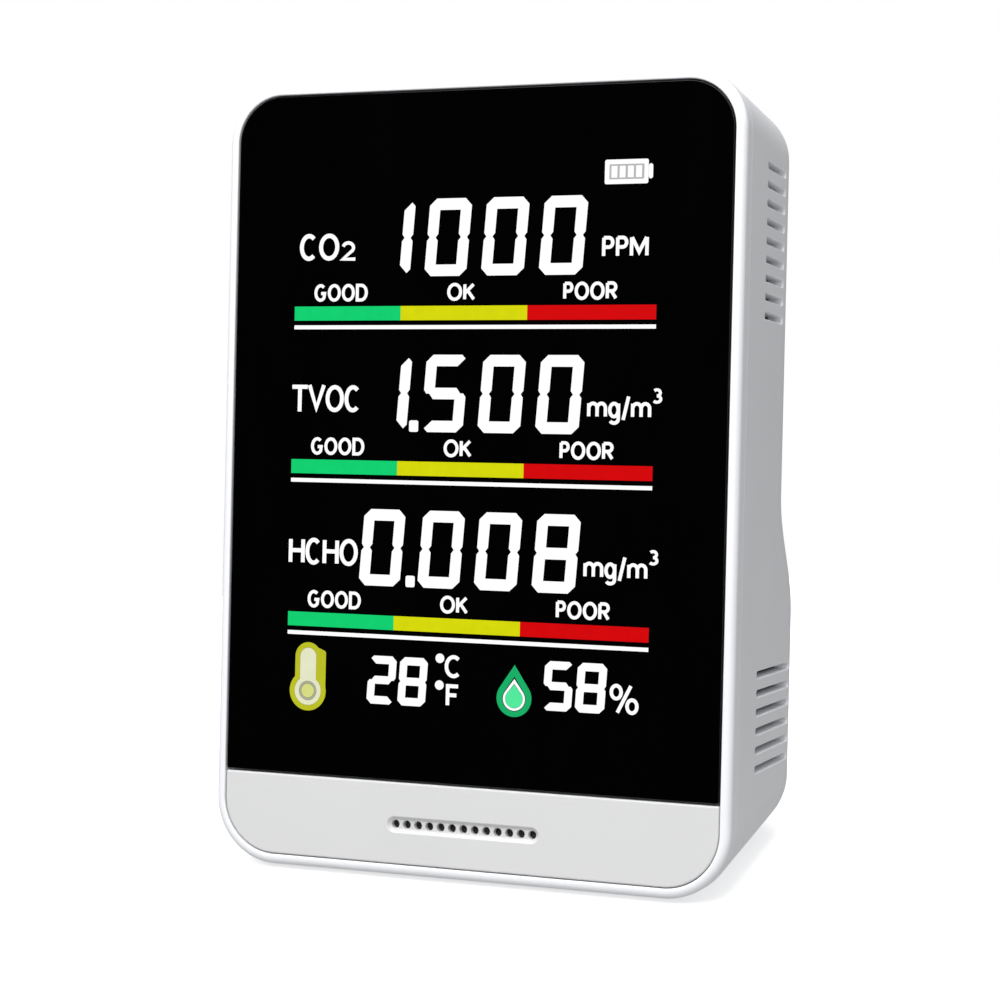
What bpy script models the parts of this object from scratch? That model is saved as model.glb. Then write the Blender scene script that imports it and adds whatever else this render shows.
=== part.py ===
"""Desktop air quality monitor: a small plastic case that leans back, with a glass front over a segment
display, a slotted rear cover with a deeper foot, and the boards, sensors, battery and button inside."""

import math

import bmesh
import bpy
from mathutils import Vector

MM = 0.001

# ---------------------------------------------------------------------------------------------------
# Driving dimensions, in millimetres and degrees. All places are in the case's own frame: X to the
# right, Y back from the front face, Z up along the front face, where the case starts at BASE and ends at
# HEIGHT. The whole case then leans back.
# ---------------------------------------------------------------------------------------------------
WIDTH = 72.0
BASE = 0.65
HEIGHT = 105.0
LEAN = 8.5
GAP = 0.3

CORNER_RADIUS = 7.7
LOWER_CORNER_RADIUS = 8.7
REAR_EDGE_RADIUS = 8.5
UPPER_DEPTH = 31.5
FOOT_DEPTH = 39.5
FOOT_TOP = 50.5
FOOT_SHOULDER = 33.0
SIDE_DRAFT = 2.0
TOP_DRAFT = 3.5
WALL = 2.0

# Front frame: a shallow rim, a ledge behind the glass and a lip that slips inside the rear cover.
PARTING = 3.0
RIM = 1.35
RIM_FILLET = 1.0
LEDGE_FRONT = 2.15
LEDGE_INSET = 4.0
LIP_OUTER = 2.6
LIP_INNER = 3.6
LIP_END = 5.0
WEB_FRONT = 2.25
WEB_BACK = 2.9

# Glass and grille strip, both set just below the rim.
FACE_INSET = 1.6
FACE_FRONT = 0.15
FACE_CORNER = 6.1
FACE_LOWER_CORNER = 7.1
GLASS_BACK = 1.35
GLASS_BOTTOM = 13.15
STRIP_TOP = 12.85
STRIP_BACK = 1.45
GRILLE_HEIGHT = 7.3
GRILLE_HOLES = 13
GRILLE_PITCH = 1.6
GRILLE_HOLE = 0.55
GROOVE_HALF_HEIGHT = 1.0
GROOVE_DEPTH = 0.5

# Display stack, from the glass back to the main board.
LCD_HALF_WIDTH = 30.2
LCD_BOTTOM = 21.5
LCD_TOP = 94.4
LCD_FRONT = 1.75
LCD_BACK = 4.35
FILM_FRONT = 4.65
FILM_BACK = 4.85
GUIDE_FRONT = 5.15
GUIDE_BACK = 7.15
REFLECTOR_FRONT = 7.45
REFLECTOR_BACK = 7.65
TRAY_FRONT = 3.3
TRAY_FLOOR = 7.95
TRAY_BACK = 8.9
TRAY_HALF_WIDTH = 31.8
TRAY_BOTTOM = 19.8
TRAY_TOP = 95.6

BOARD_FRONT = 9.2
BOARD_BACK = 10.4
BOARD_HALF_WIDTH = 31.5
BOARD_BOTTOM = 4.2
BOARD_TOP = 100.8
PART_BACK = BOARD_BACK + GAP

# Case screws and the bosses that they enter: (z, back of the seat), to the left and right of the middle.
CASE_SCREW_X = 26.0
CASE_SCREWS = {"top": (98.2, 19.8), "bottom": (11.2, 27.0)}
BOSS_RADIUS = 2.3
PILOT_RADIUS = 1.2
SCREW_SHAFT = 0.9
TUBE_RADIUS = 3.7
RECESS_RADIUS = 2.5
SEAT = 1.5

# Board screws: (x, z) on the right-hand side, mirrored to the left.
BOARD_SCREWS = {"top": (16.0, 98.7), "bottom": (19.0, 7.5)}
POST_RADIUS = 2.0

# Vent slots in both sides: (lowest slot, slots, pitch, front end, rear end).
SLOT_GROUPS = ((74.9, 9, 2.42, 12.0, 22.5), (16.1, 6, 2.46, 12.3, 31.5))
SLOT_HEIGHT = 1.05

# Rear connector, button and the small power board that carries them.
POWER_BOARD_FRONT = 29.0
POWER_BOARD_BACK = 30.2
POWER_SCREW_X = 16.5
POWER_SCREW_Z = 21.0
PORT_Z = 16.5
BUTTON_Z = 26.5
BUTTON_RADIUS = 4.7
BUTTON_PROUD = 0.8
BUTTON_TRAVEL = 0.5

# Rubber feet let into the flat bottom: (x, y) on the right-hand side, mirrored to the left.
FOOT_PLACES = {"front": (22.0, 8.5), "rear": (22.0, 27.0)}
PAD_RADIUS = 3.5
PAD_RECESS = 0.7
PAD_PROUD = 0.4

# ---------------------------------------------------------------------------------------------------
# Scene, collections and materials
# ---------------------------------------------------------------------------------------------------
for old in list(bpy.data.objects):
    bpy.data.objects.remove(old, do_unlink=True)

model = bpy.data.collections.new("air_quality_monitor")
tools = bpy.data.collections.new("cutters")
bpy.context.scene.collection.children.link(model)
bpy.context.scene.collection.children.link(tools)

case_frame = bpy.data.objects.new("case_frame", None)
case_frame.rotation_euler = (-math.radians(LEAN), 0.0, 0.0)
bpy.context.scene.collection.objects.link(case_frame)


def finish(name, colour, roughness, metallic=0.0):
    """A Principled material."""
    material = bpy.data.materials.new(name)
    material.use_nodes = True
    shader = material.node_tree.nodes["Principled BSDF"]
    shader.inputs["Base Color"].default_value = (*colour, 1.0)
    shader.inputs["Roughness"].default_value = roughness
    shader.inputs["Metallic"].default_value = metallic
    return material


WHITE_PLASTIC = finish("white_plastic", (0.86, 0.86, 0.87), 0.35)
GREY_PLASTIC = finish("grey_plastic", (0.70, 0.70, 0.71), 0.45)
BLACK_GLASS = finish("black_glass", (0.005, 0.005, 0.006), 0.06)
DISPLAY_GLASS = finish("display_glass", (0.01, 0.01, 0.015), 0.15)
CLEAR_ACRYLIC = finish("clear_acrylic", (0.85, 0.88, 0.90), 0.10)
FILM = finish("printed_film", (0.75, 0.76, 0.74), 0.4)
CIRCUIT_BOARD = finish("circuit_board", (0.02, 0.16, 0.07), 0.4)
BLACK_PLASTIC = finish("black_plastic", (0.02, 0.02, 0.02), 0.45)
STEEL = finish("steel", (0.60, 0.61, 0.62), 0.3, 1.0)
GOLD_PLATE = finish("gold_plate", (0.85, 0.62, 0.25), 0.3, 1.0)
CELL_WRAP = finish("cell_wrap", (0.35, 0.40, 0.48), 0.4)
FOAM = finish("foam", (0.10, 0.10, 0.10), 0.9)
RUBBER = finish("rubber", (0.03, 0.03, 0.03), 0.8)
RED_WIRE = finish("red_wire", (0.55, 0.02, 0.02), 0.5)
BLACK_WIRE = finish("black_wire", (0.02, 0.02, 0.02), 0.5)

# ---------------------------------------------------------------------------------------------------
# Building blocks
# ---------------------------------------------------------------------------------------------------
FACING_FRONT = (math.radians(90.0), 0.0, 0.0)
TURNED_BACK = (math.radians(-90.0), 0.0, 0.0)
WELD = 0.000001


def place(name, mesh, material=None, at=(0.0, 0.0, 0.0), turn=(0.0, 0.0, 0.0)):
    """A part of the model in the case's frame, or a cutter where no material is given."""
    item = bpy.data.objects.new(name, mesh)
    item.location = Vector(at) * MM
    item.rotation_euler = turn
    item.parent = case_frame
    if material is None:
        tools.objects.link(item)
        item.hide_render = True
        item.display_type = "WIRE"
        return item
    model.objects.link(item)
    if not mesh.materials:
        mesh.materials.append(material)
    return item


def mesh_from(name, bm):
    """A mesh in metres from a bmesh in millimetres."""
    bmesh.ops.scale(bm, vec=(MM, MM, MM), verts=bm.verts)
    mesh = bpy.data.meshes.new(name)
    bm.to_mesh(mesh)
    bm.free()
    return mesh


def evaluated(item):
    """The mesh of an object with its modifiers applied."""
    bpy.context.view_layer.update()
    graph = bpy.context.evaluated_depsgraph_get()
    return bpy.data.meshes.new_from_object(item.evaluated_get(graph))


def boolean(item, other, operation):
    """Cuts the other object out of the item, or joins it to the item."""
    modifier = item.modifiers.new(other.name, "BOOLEAN")
    modifier.operation = operation
    modifier.solver = "EXACT"
    modifier.object = other


def cut(item, *others):
    for other in others:
        boolean(item, other, "DIFFERENCE")


def join(item, *others):
    for other in others:
        boolean(item, other, "UNION")


def soften(item, width):
    """A single chamfer on every sharp edge."""
    modifier = item.modifiers.new("soften", "BEVEL")
    modifier.width = width * MM
    modifier.segments = 1
    modifier.limit_method = "ANGLE"


def block(name, low, high, material=None, edge=0.0):
    """A box between two corners."""
    size = Vector(high) - Vector(low)
    bm = bmesh.new()
    bmesh.ops.create_cube(bm, size=1.0)
    bmesh.ops.scale(bm, vec=size, verts=bm.verts)
    item = place(name, mesh_from(name, bm), material, (Vector(low) + Vector(high)) / 2.0)
    if edge:
        soften(item, edge)
    return item


def rod(name, radius, x, z, front, back, material=None, sides=16):
    """A cylinder along the case's depth."""
    bm = bmesh.new()
    bmesh.ops.create_cone(bm, cap_ends=True, segments=sides, radius1=radius, radius2=radius, depth=back - front)
    return place(name, mesh_from(name, bm), material, (x, (front + back) / 2.0, z), TURNED_BACK)


def turned_mesh(name, profile, steps):
    """A profile of (radius, height), from top to bottom, turned about the height axis."""
    bm = bmesh.new()
    points = [bm.verts.new((radius, 0.0, height)) for radius, height in profile]
    for start, end in zip(points, points[1:]):
        bm.edges.new((start, end))
    item = place(name + "_profile", mesh_from(name, bm))
    modifier = item.modifiers.new("turn", "SCREW")
    modifier.steps = steps
    modifier.render_steps = steps
    modifier.use_merge_vertices = True
    modifier.merge_threshold = WELD
    mesh = evaluated(item)
    bpy.data.objects.remove(item, do_unlink=True)
    return mesh


def shade_round(item):
    item.data.shade_smooth()
    item.data.set_sharp_from_angle(angle=math.radians(35.0))


def arc(cx, cy, radius, start, end, segments):
    """Points on an arc, angles in degrees, both ends included."""
    points = []
    for step in range(segments + 1):
        angle = math.radians(start + (end - start) * step / segments)
        points.append((cx + radius * math.cos(angle), cy + radius * math.sin(angle)))
    return points


def round_rectangle(left, bottom, right, top, lower_radius, upper_radius, segments=5):
    """An outline with round corners, from the lower right corner anticlockwise."""
    outline = arc(right - lower_radius, bottom + lower_radius, lower_radius, -90.0, 0.0, segments)
    outline += arc(right - upper_radius, top - upper_radius, upper_radius, 0.0, 90.0, segments)
    outline += arc(left + upper_radius, top - upper_radius, upper_radius, 90.0, 180.0, segments)
    outline += arc(left + lower_radius, bottom + lower_radius, lower_radius, 180.0, 270.0, segments)
    return outline


def rectangle(left, bottom, right, top):
    return [(left, bottom), (right, bottom), (right, top), (left, top)]


def stadium(cx, cy, half_length, half_height, segments=4):
    """A slot outline with round ends, long in its first direction."""
    reach = half_length - half_height
    outline = arc(cx + reach, cy, half_height, -90.0, 90.0, segments)
    return outline + arc(cx - reach, cy, half_height, 90.0, 270.0, segments)


def plate(name, outlines, front, back, material=None, turn=FACING_FRONT):
    """A flat plate whose first outline is its edge and whose others are holes."""
    curve = bpy.data.curves.new(name, "CURVE")
    curve.dimensions = "2D"
    curve.fill_mode = "BOTH"
    curve.extrude = (back - front) / 2.0 * MM
    for outline in outlines:
        spline = curve.splines.new("POLY")
        spline.points.add(len(outline) - 1)
        spline.use_cyclic_u = True
        for point, (x, y) in zip(spline.points, outline):
            point.co = (x * MM, y * MM, 0.0, 1.0)
    guide = place(name + "_outline", curve, None, (0.0, (front + back) / 2.0, 0.0), turn)
    mesh = evaluated(guide)
    bpy.data.objects.remove(guide, do_unlink=True)
    bm = bmesh.new()
    bm.from_mesh(mesh)
    bmesh.ops.remove_doubles(bm, verts=bm.verts, dist=WELD)
    bmesh.ops.recalc_face_normals(bm, faces=bm.faces)
    bm.to_mesh(mesh)
    bm.free()
    mesh.materials.clear()
    return place(name, mesh, material, (0.0, (front + back) / 2.0, 0.0), turn)


def loft(name, rings, close_rings, material=None):
    """A solid through rings of equal length, closed by end faces or back onto the first ring."""
    bm = bmesh.new()
    loops = [[bm.verts.new(point) for point in ring] for ring in rings]
    pairs = list(zip(loops, loops[1:]))
    if close_rings:
        pairs.append((loops[-1], loops[0]))
    else:
        bm.faces.new(loops[0])
        bm.faces.new(loops[-1])
    for lower, upper in pairs:
        for here in range(len(lower)):
            after = (here + 1) % len(lower)
            bm.faces.new((lower[here], lower[after], upper[after], upper[here]))
    bmesh.ops.recalc_face_normals(bm, faces=bm.faces)
    return place(name, mesh_from(name, bm), material)


def wire(name, points, radius, material):
    """A round lead along a smooth curve through the given points."""
    curve = bpy.data.curves.new(name, "CURVE")
    curve.dimensions = "3D"
    curve.bevel_depth = radius * MM
    curve.bevel_resolution = 1
    curve.use_fill_caps = True
    route = smooth_route(points, 4)
    spline = curve.splines.new("POLY")
    spline.points.add(len(route) - 1)
    for point, spot in zip(spline.points, route):
        point.co = (*(spot * MM), 1.0)
    return place(name, curve, material)


def smooth_route(points, steps):
    """Points on a Catmull-Rom curve through the given points."""
    knots = [Vector(point) for point in points]
    knots = [2.0 * knots[0] - knots[1]] + knots + [2.0 * knots[-1] - knots[-2]]
    route = []
    for k in range(1, len(knots) - 2):
        before, start, end, after = knots[k - 1:k + 3]
        for step in range(steps):
            t = step / steps
            linear = (end - before) * t
            square = (2.0 * before - 5.0 * start + 4.0 * end - after) * t ** 2
            cube = (3.0 * start - before - 3.0 * end + after) * t ** 3
            route.append(start + (linear + square + cube) * 0.5)
    route.append(knots[-2])
    return route


def strip(name, route, half_width, thickness, material, x=0.0):
    """A thin flat strip, wide in X, that follows a route of (y, z) points."""
    bm = bmesh.new()
    left = [bm.verts.new((x - half_width, y, z)) for y, z in route]
    right = [bm.verts.new((x + half_width, y, z)) for y, z in route]
    for k in range(len(route) - 1):
        bm.faces.new((left[k], right[k], right[k + 1], left[k + 1]))
    item = place(name, mesh_from(name, bm), material)
    modifier = item.modifiers.new("thickness", "SOLIDIFY")
    modifier.thickness = thickness * MM
    modifier.offset = 0.0
    modifier.use_even_offset = True
    return item


def mirrored(places):
    """Names, signs and places of pieces that sit on both sides of the case."""
    for level, spot in places.items():
        for side, sign in (("left", -1.0), ("right", 1.0)):
            yield level + "_" + side, sign, spot


# ---------------------------------------------------------------------------------------------------
# Case shape
# ---------------------------------------------------------------------------------------------------
def bottom_at(y):
    """Height of the flat bottom, which is level once the case leans back."""
    return BASE + (y - PARTING) * math.tan(math.radians(LEAN))


def top_at(y):
    return HEIGHT - (y - PARTING) * math.tan(math.radians(TOP_DRAFT))


def side_at(y):
    return WIDTH / 2.0 - (y - PARTING) * math.tan(math.radians(SIDE_DRAFT))


def depth_at(height):
    """Depth of the rear wall: flat above, a smooth step out to the deeper foot below."""
    t = min(max((FOOT_TOP - height) / (FOOT_TOP - FOOT_SHOULDER), 0.0), 1.0)
    return UPPER_DEPTH + (FOOT_DEPTH - UPPER_DEPTH) * t * t * (3.0 - 2.0 * t)


def end_rounding(distance, radius):
    """How far a rounded edge has pulled in, at a distance from the end face."""
    if distance >= radius:
        return 0.0
    return radius - math.sqrt(radius ** 2 - (radius - distance) ** 2)


def case_ring(distance, low, inset, front):
    """One level of the rear cover, a given distance in from its lower or upper end."""
    side_radius = (LOWER_CORNER_RADIUS if low else CORNER_RADIUS) - inset
    edge_radius = REAR_EDGE_RADIUS - inset
    height = BASE + inset + distance if low else HEIGHT - inset - distance
    share = (height - BASE) / (HEIGHT - BASE)
    pull_side = end_rounding(distance, side_radius)
    back = depth_at(height) - inset - end_rounding(distance, edge_radius)
    radius = max(math.sqrt(edge_radius ** 2 - max(edge_radius - distance, 0.0) ** 2), 0.02)

    def spot(x, y):
        return (x, y, bottom_at(y) + share * (top_at(y) - bottom_at(y)))

    reach = back - radius
    half = side_at(reach) - inset - pull_side
    corner = arc(half - radius, reach, radius, 0.0, 90.0, 6)
    front_half = side_at(front) - inset - pull_side
    right = [(front_half, front)] + corner
    left = [(-x, y) for x, y in reversed(right)]
    return [spot(x, y) for x, y in right + left]


def case_solid(name, inset, front, material=None):
    """The rear cover's outer form, or with an inset the space inside it."""
    radius = REAR_EDGE_RADIUS - inset
    rounding = [radius * (1.0 - math.cos(math.radians(angle))) for angle in (0, 18, 36, 54, 72, 90)]
    middle = HEIGHT / 2.0 - inset
    levels = [FOOT_SHOULDER - 6.0 * k for k in (1.5, 0.0)]
    levels += [FOOT_SHOULDER + (FOOT_TOP - FOOT_SHOULDER) * k / 6.0 for k in range(1, 6)]
    levels += [FOOT_TOP]
    rings = [case_ring(distance, True, inset, front) for distance in rounding]
    rings += [case_ring(level - BASE - inset, True, inset, front) for level in levels]
    rings += [case_ring(middle, False, inset, front)]
    rings += [case_ring(distance, False, inset, front) for distance in reversed(rounding)]
    return loft(name, rings, False, material)


def frame_outline(inset, segments=6):
    lower = LOWER_CORNER_RADIUS - inset
    upper = CORNER_RADIUS - inset
    half = WIDTH / 2.0 - inset
    return round_rectangle(-half, BASE + inset, half, HEIGHT - inset, lower, upper, segments)


# ---------------------------------------------------------------------------------------------------
# Front frame, glass and grille strip
# ---------------------------------------------------------------------------------------------------
def build_front_bezel():
    section = [(0.0, PARTING)]
    section += [(RIM_FILLET - x, RIM_FILLET - y) for x, y in arc(0.0, 0.0, RIM_FILLET, 0.0, 90.0, 3)]
    section += [(RIM, 0.0), (RIM, LEDGE_FRONT), (LEDGE_INSET, LEDGE_FRONT), (LEDGE_INSET, PARTING)]
    section += [(LIP_INNER, PARTING), (LIP_INNER, LIP_END), (LIP_OUTER, LIP_END), (LIP_OUTER, PARTING)]
    rings = [[(x, y, z) for x, z in frame_outline(inset)] for inset, y in section]
    bezel = loft("front_bezel", rings, True, WHITE_PLASTIC)

    lcd_hole = rectangle(-LCD_HALF_WIDTH - 0.6, LCD_BOTTOM - 0.6, LCD_HALF_WIDTH + 0.6, LCD_TOP + 0.6)
    grille_hole = rectangle(-13.0, GRILLE_HEIGHT - 2.6, 13.0, GRILLE_HEIGHT + 2.6)
    join(bezel, plate("web", [frame_outline(3.0), lcd_hole, grille_hole], WEB_FRONT, WEB_BACK))
    for name, sign, (z, seat) in mirrored(CASE_SCREWS):
        end = seat - SEAT - GAP
        join(bezel, rod("boss_" + name, BOSS_RADIUS, sign * CASE_SCREW_X, z, WEB_BACK - 0.3, end))
        cut(bezel, rod("pilot_" + name, PILOT_RADIUS, sign * CASE_SCREW_X, z, end - 12.0, end + 1.0, sides=12))
    for name, sign, (x, z) in mirrored(BOARD_SCREWS):
        end = BOARD_FRONT - GAP
        join(bezel, rod("post_" + name, POST_RADIUS, sign * x, z, WEB_BACK - 0.3, end, sides=12))
        cut(bezel, rod("post_pilot_" + name, PILOT_RADIUS - 0.1, sign * x, z, end - 5.0, end + 1.0, sides=12))


def build_front_faces():
    half = WIDTH / 2.0 - FACE_INSET
    top = HEIGHT - FACE_INSET
    glass = round_rectangle(-half, GLASS_BOTTOM, half, top, 0.3, FACE_CORNER)
    plate("display_window", [glass], FACE_FRONT, GLASS_BACK, BLACK_GLASS)
    outer = round_rectangle(-half + 0.3, GLASS_BOTTOM + 0.3, half - 0.3, top - 0.3, 0.3, FACE_CORNER - 0.3)
    inner = round_rectangle(-half + 2.2, GLASS_BOTTOM + 2.2, half - 2.2, top - 2.2, 0.3, FACE_CORNER - 2.2)
    plate("window_tape", [outer, inner], GLASS_BACK + GAP, LEDGE_FRONT - GAP, FOAM)

    strip_edge = round_rectangle(-half, BASE + FACE_INSET, half, STRIP_TOP, FACE_LOWER_CORNER, 0.3)
    panel = plate("grille_panel", [strip_edge], FACE_FRONT, STRIP_BACK, GREY_PLASTIC)
    span = GRILLE_PITCH * (GRILLE_HOLES - 1) / 2.0
    groove = stadium(0.0, GRILLE_HEIGHT, span + GROOVE_HALF_HEIGHT, GROOVE_HALF_HEIGHT)
    cut(panel, plate("groove", [groove], FACE_FRONT - 1.0, FACE_FRONT + GROOVE_DEPTH))
    for k in range(GRILLE_HOLES):
        x = k * GRILLE_PITCH - span
        cut(panel, rod(f"sound_hole_{k}", GRILLE_HOLE, x, GRILLE_HEIGHT, -1.0, STRIP_BACK + 1.0, sides=10))
    mesh_front = STRIP_BACK + GAP
    cloth = round_rectangle(-11.8, GRILLE_HEIGHT - 2.2, 11.8, GRILLE_HEIGHT + 2.2, 1.0, 1.0, 2)
    plate("dust_mesh", [cloth], mesh_front, mesh_front + 0.2, BLACK_PLASTIC)


# ---------------------------------------------------------------------------------------------------
# Display stack
# ---------------------------------------------------------------------------------------------------
def build_display():
    half = LCD_HALF_WIDTH
    block("lcd_panel", (-half, LCD_FRONT, LCD_BOTTOM), (half, LCD_BACK, LCD_TOP), DISPLAY_GLASS, 0.15)
    inner = half - 0.2
    block("colour_film", (-inner, FILM_FRONT, LCD_BOTTOM), (inner, FILM_BACK, LCD_TOP), FILM)
    guide_bottom = LCD_BOTTOM + 2.1
    block("light_guide", (-inner, GUIDE_FRONT, guide_bottom), (inner, GUIDE_BACK, LCD_TOP), CLEAR_ACRYLIC, 0.1)
    block("reflector_film", (-inner, REFLECTOR_FRONT, LCD_BOTTOM), (inner, REFLECTOR_BACK, LCD_TOP), FILM)

    tray_high = (TRAY_HALF_WIDTH, TRAY_BACK, TRAY_TOP)
    tray = block("display_tray", (-TRAY_HALF_WIDTH, TRAY_FRONT, TRAY_BOTTOM), tray_high, WHITE_PLASTIC)
    pocket_high = (half + GAP, TRAY_FLOOR, LCD_TOP + GAP)
    cut(tray, block("tray_pocket", (-half - GAP, TRAY_FRONT - 1.0, LCD_BOTTOM - GAP), pocket_high))
    cut(tray, block("ribbon_notch", (-12.6, TRAY_FRONT - 1.0, TRAY_BOTTOM - 1.0), (12.6, 4.6, LCD_BOTTOM)))

    strip_top = LCD_BOTTOM + 0.8
    strip_low = (-28.0, GUIDE_FRONT + 0.05, LCD_BOTTOM)
    leds = block("backlight_strip", strip_low, (28.0, GUIDE_BACK - 0.05, strip_top), CIRCUIT_BOARD)
    for k in range(5):
        x = -22.0 + 11.0 * k
        low = (x - 1.4, GUIDE_FRONT + 0.4, strip_top - 0.2)
        join(leds, block(f"led_{k}", low, (x + 1.4, GUIDE_BACK - 0.4, strip_top + 0.8)))

    bend = [(5.6 - y, 19.0 - z) for y, z in arc(0.0, 0.0, 2.0, 0.0, 80.0, 4)]
    strip("display_ribbon", [(3.6, LCD_BOTTOM - GAP)] + bend + [(7.0, 16.9)], 11.8, 0.2, GOLD_PLATE)
    block("display_connector", (-12.4, 7.35, 15.2), (12.4, BOARD_FRONT - GAP, 18.0), WHITE_PLASTIC, 0.15)


# ---------------------------------------------------------------------------------------------------
# Main board and what it carries
# ---------------------------------------------------------------------------------------------------
def build_main_board():
    edge = BOARD_HALF_WIDTH
    clear = BOSS_RADIUS + GAP + 0.2
    notch = CASE_SCREW_X - clear
    low_notch = CASE_SCREWS["bottom"][0] + clear
    high_notch = CASE_SCREWS["top"][0] - clear
    right = [(notch, BOARD_BOTTOM), (notch, low_notch), (edge, low_notch)]
    right += [(edge, high_notch), (notch, high_notch), (notch, BOARD_TOP)]
    outline = right + [(-x, z) for x, z in reversed(right)]
    holes = []
    for name, sign, (x, z) in mirrored(BOARD_SCREWS):
        holes.append(arc(sign * x, z, PILOT_RADIUS, 0.0, 330.0, 11))
    plate("main_board", [outline] + holes, BOARD_FRONT, BOARD_BACK, CIRCUIT_BOARD)

    block("microcontroller", (-17.0, PART_BACK, 50.0), (-7.0, PART_BACK + 1.4, 60.0), BLACK_PLASTIC, 0.2)
    block("display_driver", (-16.0, PART_BACK, 36.0), (-8.5, PART_BACK + 1.2, 41.0), BLACK_PLASTIC, 0.2)
    crystal = stadium(-23.0, 55.0, 2.6, 1.3)
    plate("clock_crystal", [crystal], PART_BACK, PART_BACK + 3.0, STEEL)
    block("humidity_sensor", (-28.5, PART_BACK, 84.0), (-25.0, PART_BACK + 1.2, 87.5), WHITE_PLASTIC, 0.2)

    can = [(0.0, 3.8), (0.8, 3.8), (0.8, 5.8), (4.6, 5.8), (4.6, GAP), (0.0, GAP)]
    mesh = turned_mesh("buzzer", can, 20)
    shade_round(place("buzzer", mesh, BLACK_PLASTIC, (0.0, BOARD_FRONT, 9.2), FACING_FRONT))

    header_low = (11.0, PART_BACK, 63.0)
    block("sensor_header", header_low, (27.0, PART_BACK + 2.0, 65.5), BLACK_PLASTIC, 0.2)
    board_front = PART_BACK + 2.0 + GAP
    board_back = board_front + 1.0
    block("co2_sensor_board", (9.0, board_front, 62.0), (30.0, board_back, 93.0), CIRCUIT_BOARD)
    chamber_high = (28.0, board_back + GAP + 6.0, 90.5)
    chamber = block("co2_sensor_chamber", (11.0, board_back + GAP, 65.0), chamber_high, GOLD_PLATE, 0.8)
    for k in range(4):
        z = 69.0 + 6.0 * k
        port = block(f"gas_port_{k}", (14.0, board_back + 4.5, z), (25.0, board_back + 9.0, z + 2.0))
        cut(chamber, port)

    can = [(0.0, 6.6), (5.2, 6.6), (5.2, 7.6), (7.0, 7.6), (7.6, 7.0), (7.6, 1.0), (8.2, 1.0), (8.2, 0.0), (0.0, 0.0)]
    mesh = turned_mesh("formaldehyde_sensor", can, 24)
    shade_round(place("formaldehyde_sensor", mesh, WHITE_PLASTIC, (19.5, PART_BACK, 27.0), TURNED_BACK))
    can = [(0.0, 4.6), (2.6, 4.6), (2.6, 5.0), (4.0, 5.0), (4.3, 4.7), (4.3, 0.6), (4.8, 0.6), (4.8, 0.0), (0.0, 0.0)]
    mesh = turned_mesh("tvoc_sensor", can, 20)
    shade_round(place("tvoc_sensor", mesh, STEEL, (-21.0, PART_BACK, 24.0), TURNED_BACK))


# ---------------------------------------------------------------------------------------------------
# Rear cover, feet and fasteners
# ---------------------------------------------------------------------------------------------------
def build_rear_cover():
    cover = case_solid("rear_cover", 0.0, PARTING + GAP, WHITE_PLASTIC)
    hollow = case_solid("hollow", WALL, PARTING - 1.0)
    for name, sign, (z, seat) in mirrored(CASE_SCREWS):
        cut(hollow, rod("tube_" + name, TUBE_RADIUS, sign * CASE_SCREW_X, z, seat - SEAT, seat + 25.0))
    for side, sign in (("left", -1.0), ("right", 1.0)):
        start = POWER_BOARD_BACK + GAP
        x = sign * POWER_SCREW_X
        cut(hollow, rod("board_post_" + side, POST_RADIUS, x, POWER_SCREW_Z, start, start + 12.0, sides=12))
    cut(cover, hollow)

    for name, sign, (z, seat) in mirrored(CASE_SCREWS):
        x = sign * CASE_SCREW_X
        cut(cover, rod("recess_" + name, RECESS_RADIUS, x, z, seat, seat + 25.0))
        cut(cover, rod("clearance_" + name, PILOT_RADIUS, x, z, seat - 3.0, seat + 1.0, sides=12))
    for side, sign in (("left", -1.0), ("right", 1.0)):
        start = POWER_BOARD_BACK
        pilot = rod("board_pilot_" + side, 1.1, sign * POWER_SCREW_X, POWER_SCREW_Z, start, start + 6.0, sides=12)
        cut(cover, pilot)

    along_x = (math.radians(90.0), 0.0, math.radians(90.0))
    for lowest, count, pitch, front, rear in SLOT_GROUPS:
        for k in range(count):
            outline = stadium((front + rear) / 2.0, lowest + pitch * k, (rear - front) / 2.0, SLOT_HEIGHT / 2.0, 3)
            for side, sign in (("left", -1.0), ("right", 1.0)):
                slot = plate(f"slot_{side}_{lowest:.0f}_{k}", [outline], -WALL * 2.0, WALL * 2.0, turn=along_x)
                slot.location = Vector((sign * side_at((front + rear) / 2.0), 0.0, 0.0)) * MM
                cut(cover, slot)

    mouth = round_rectangle(-4.85, PORT_Z - 1.98, 4.85, PORT_Z + 1.98, 1.9, 1.9)
    cut(cover, plate("port_mouth", [mouth], FOOT_DEPTH - 5.0, FOOT_DEPTH + 1.0))
    cut(cover, rod("button_hole", BUTTON_RADIUS + GAP, 0.0, BUTTON_Z, FOOT_DEPTH - 5.0, FOOT_DEPTH + 1.0, sides=28))

    level = (math.radians(LEAN), 0.0, 0.0)
    for name, sign, (x, y) in mirrored(FOOT_PLACES):
        at = (sign * x, y, bottom_at(y))
        seat = [(0.0, PAD_RECESS), (PAD_RADIUS + GAP, PAD_RECESS), (PAD_RADIUS + GAP, -2.0), (0.0, -2.0)]
        cut(cover, place("foot_recess_" + name, turned_mesh("foot_recess", seat, 20), None, at, level))
        pad = [(0.0, PAD_RECESS - GAP), (PAD_RADIUS, PAD_RECESS - GAP), (PAD_RADIUS, 0.3 - PAD_PROUD)]
        pad += [(PAD_RADIUS - 0.3, -PAD_PROUD), (0.0, -PAD_PROUD)]
        foot = place("rubber_foot_" + name, turned_mesh("rubber_foot", pad, 20), RUBBER, at, level)
        shade_round(foot)


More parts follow.
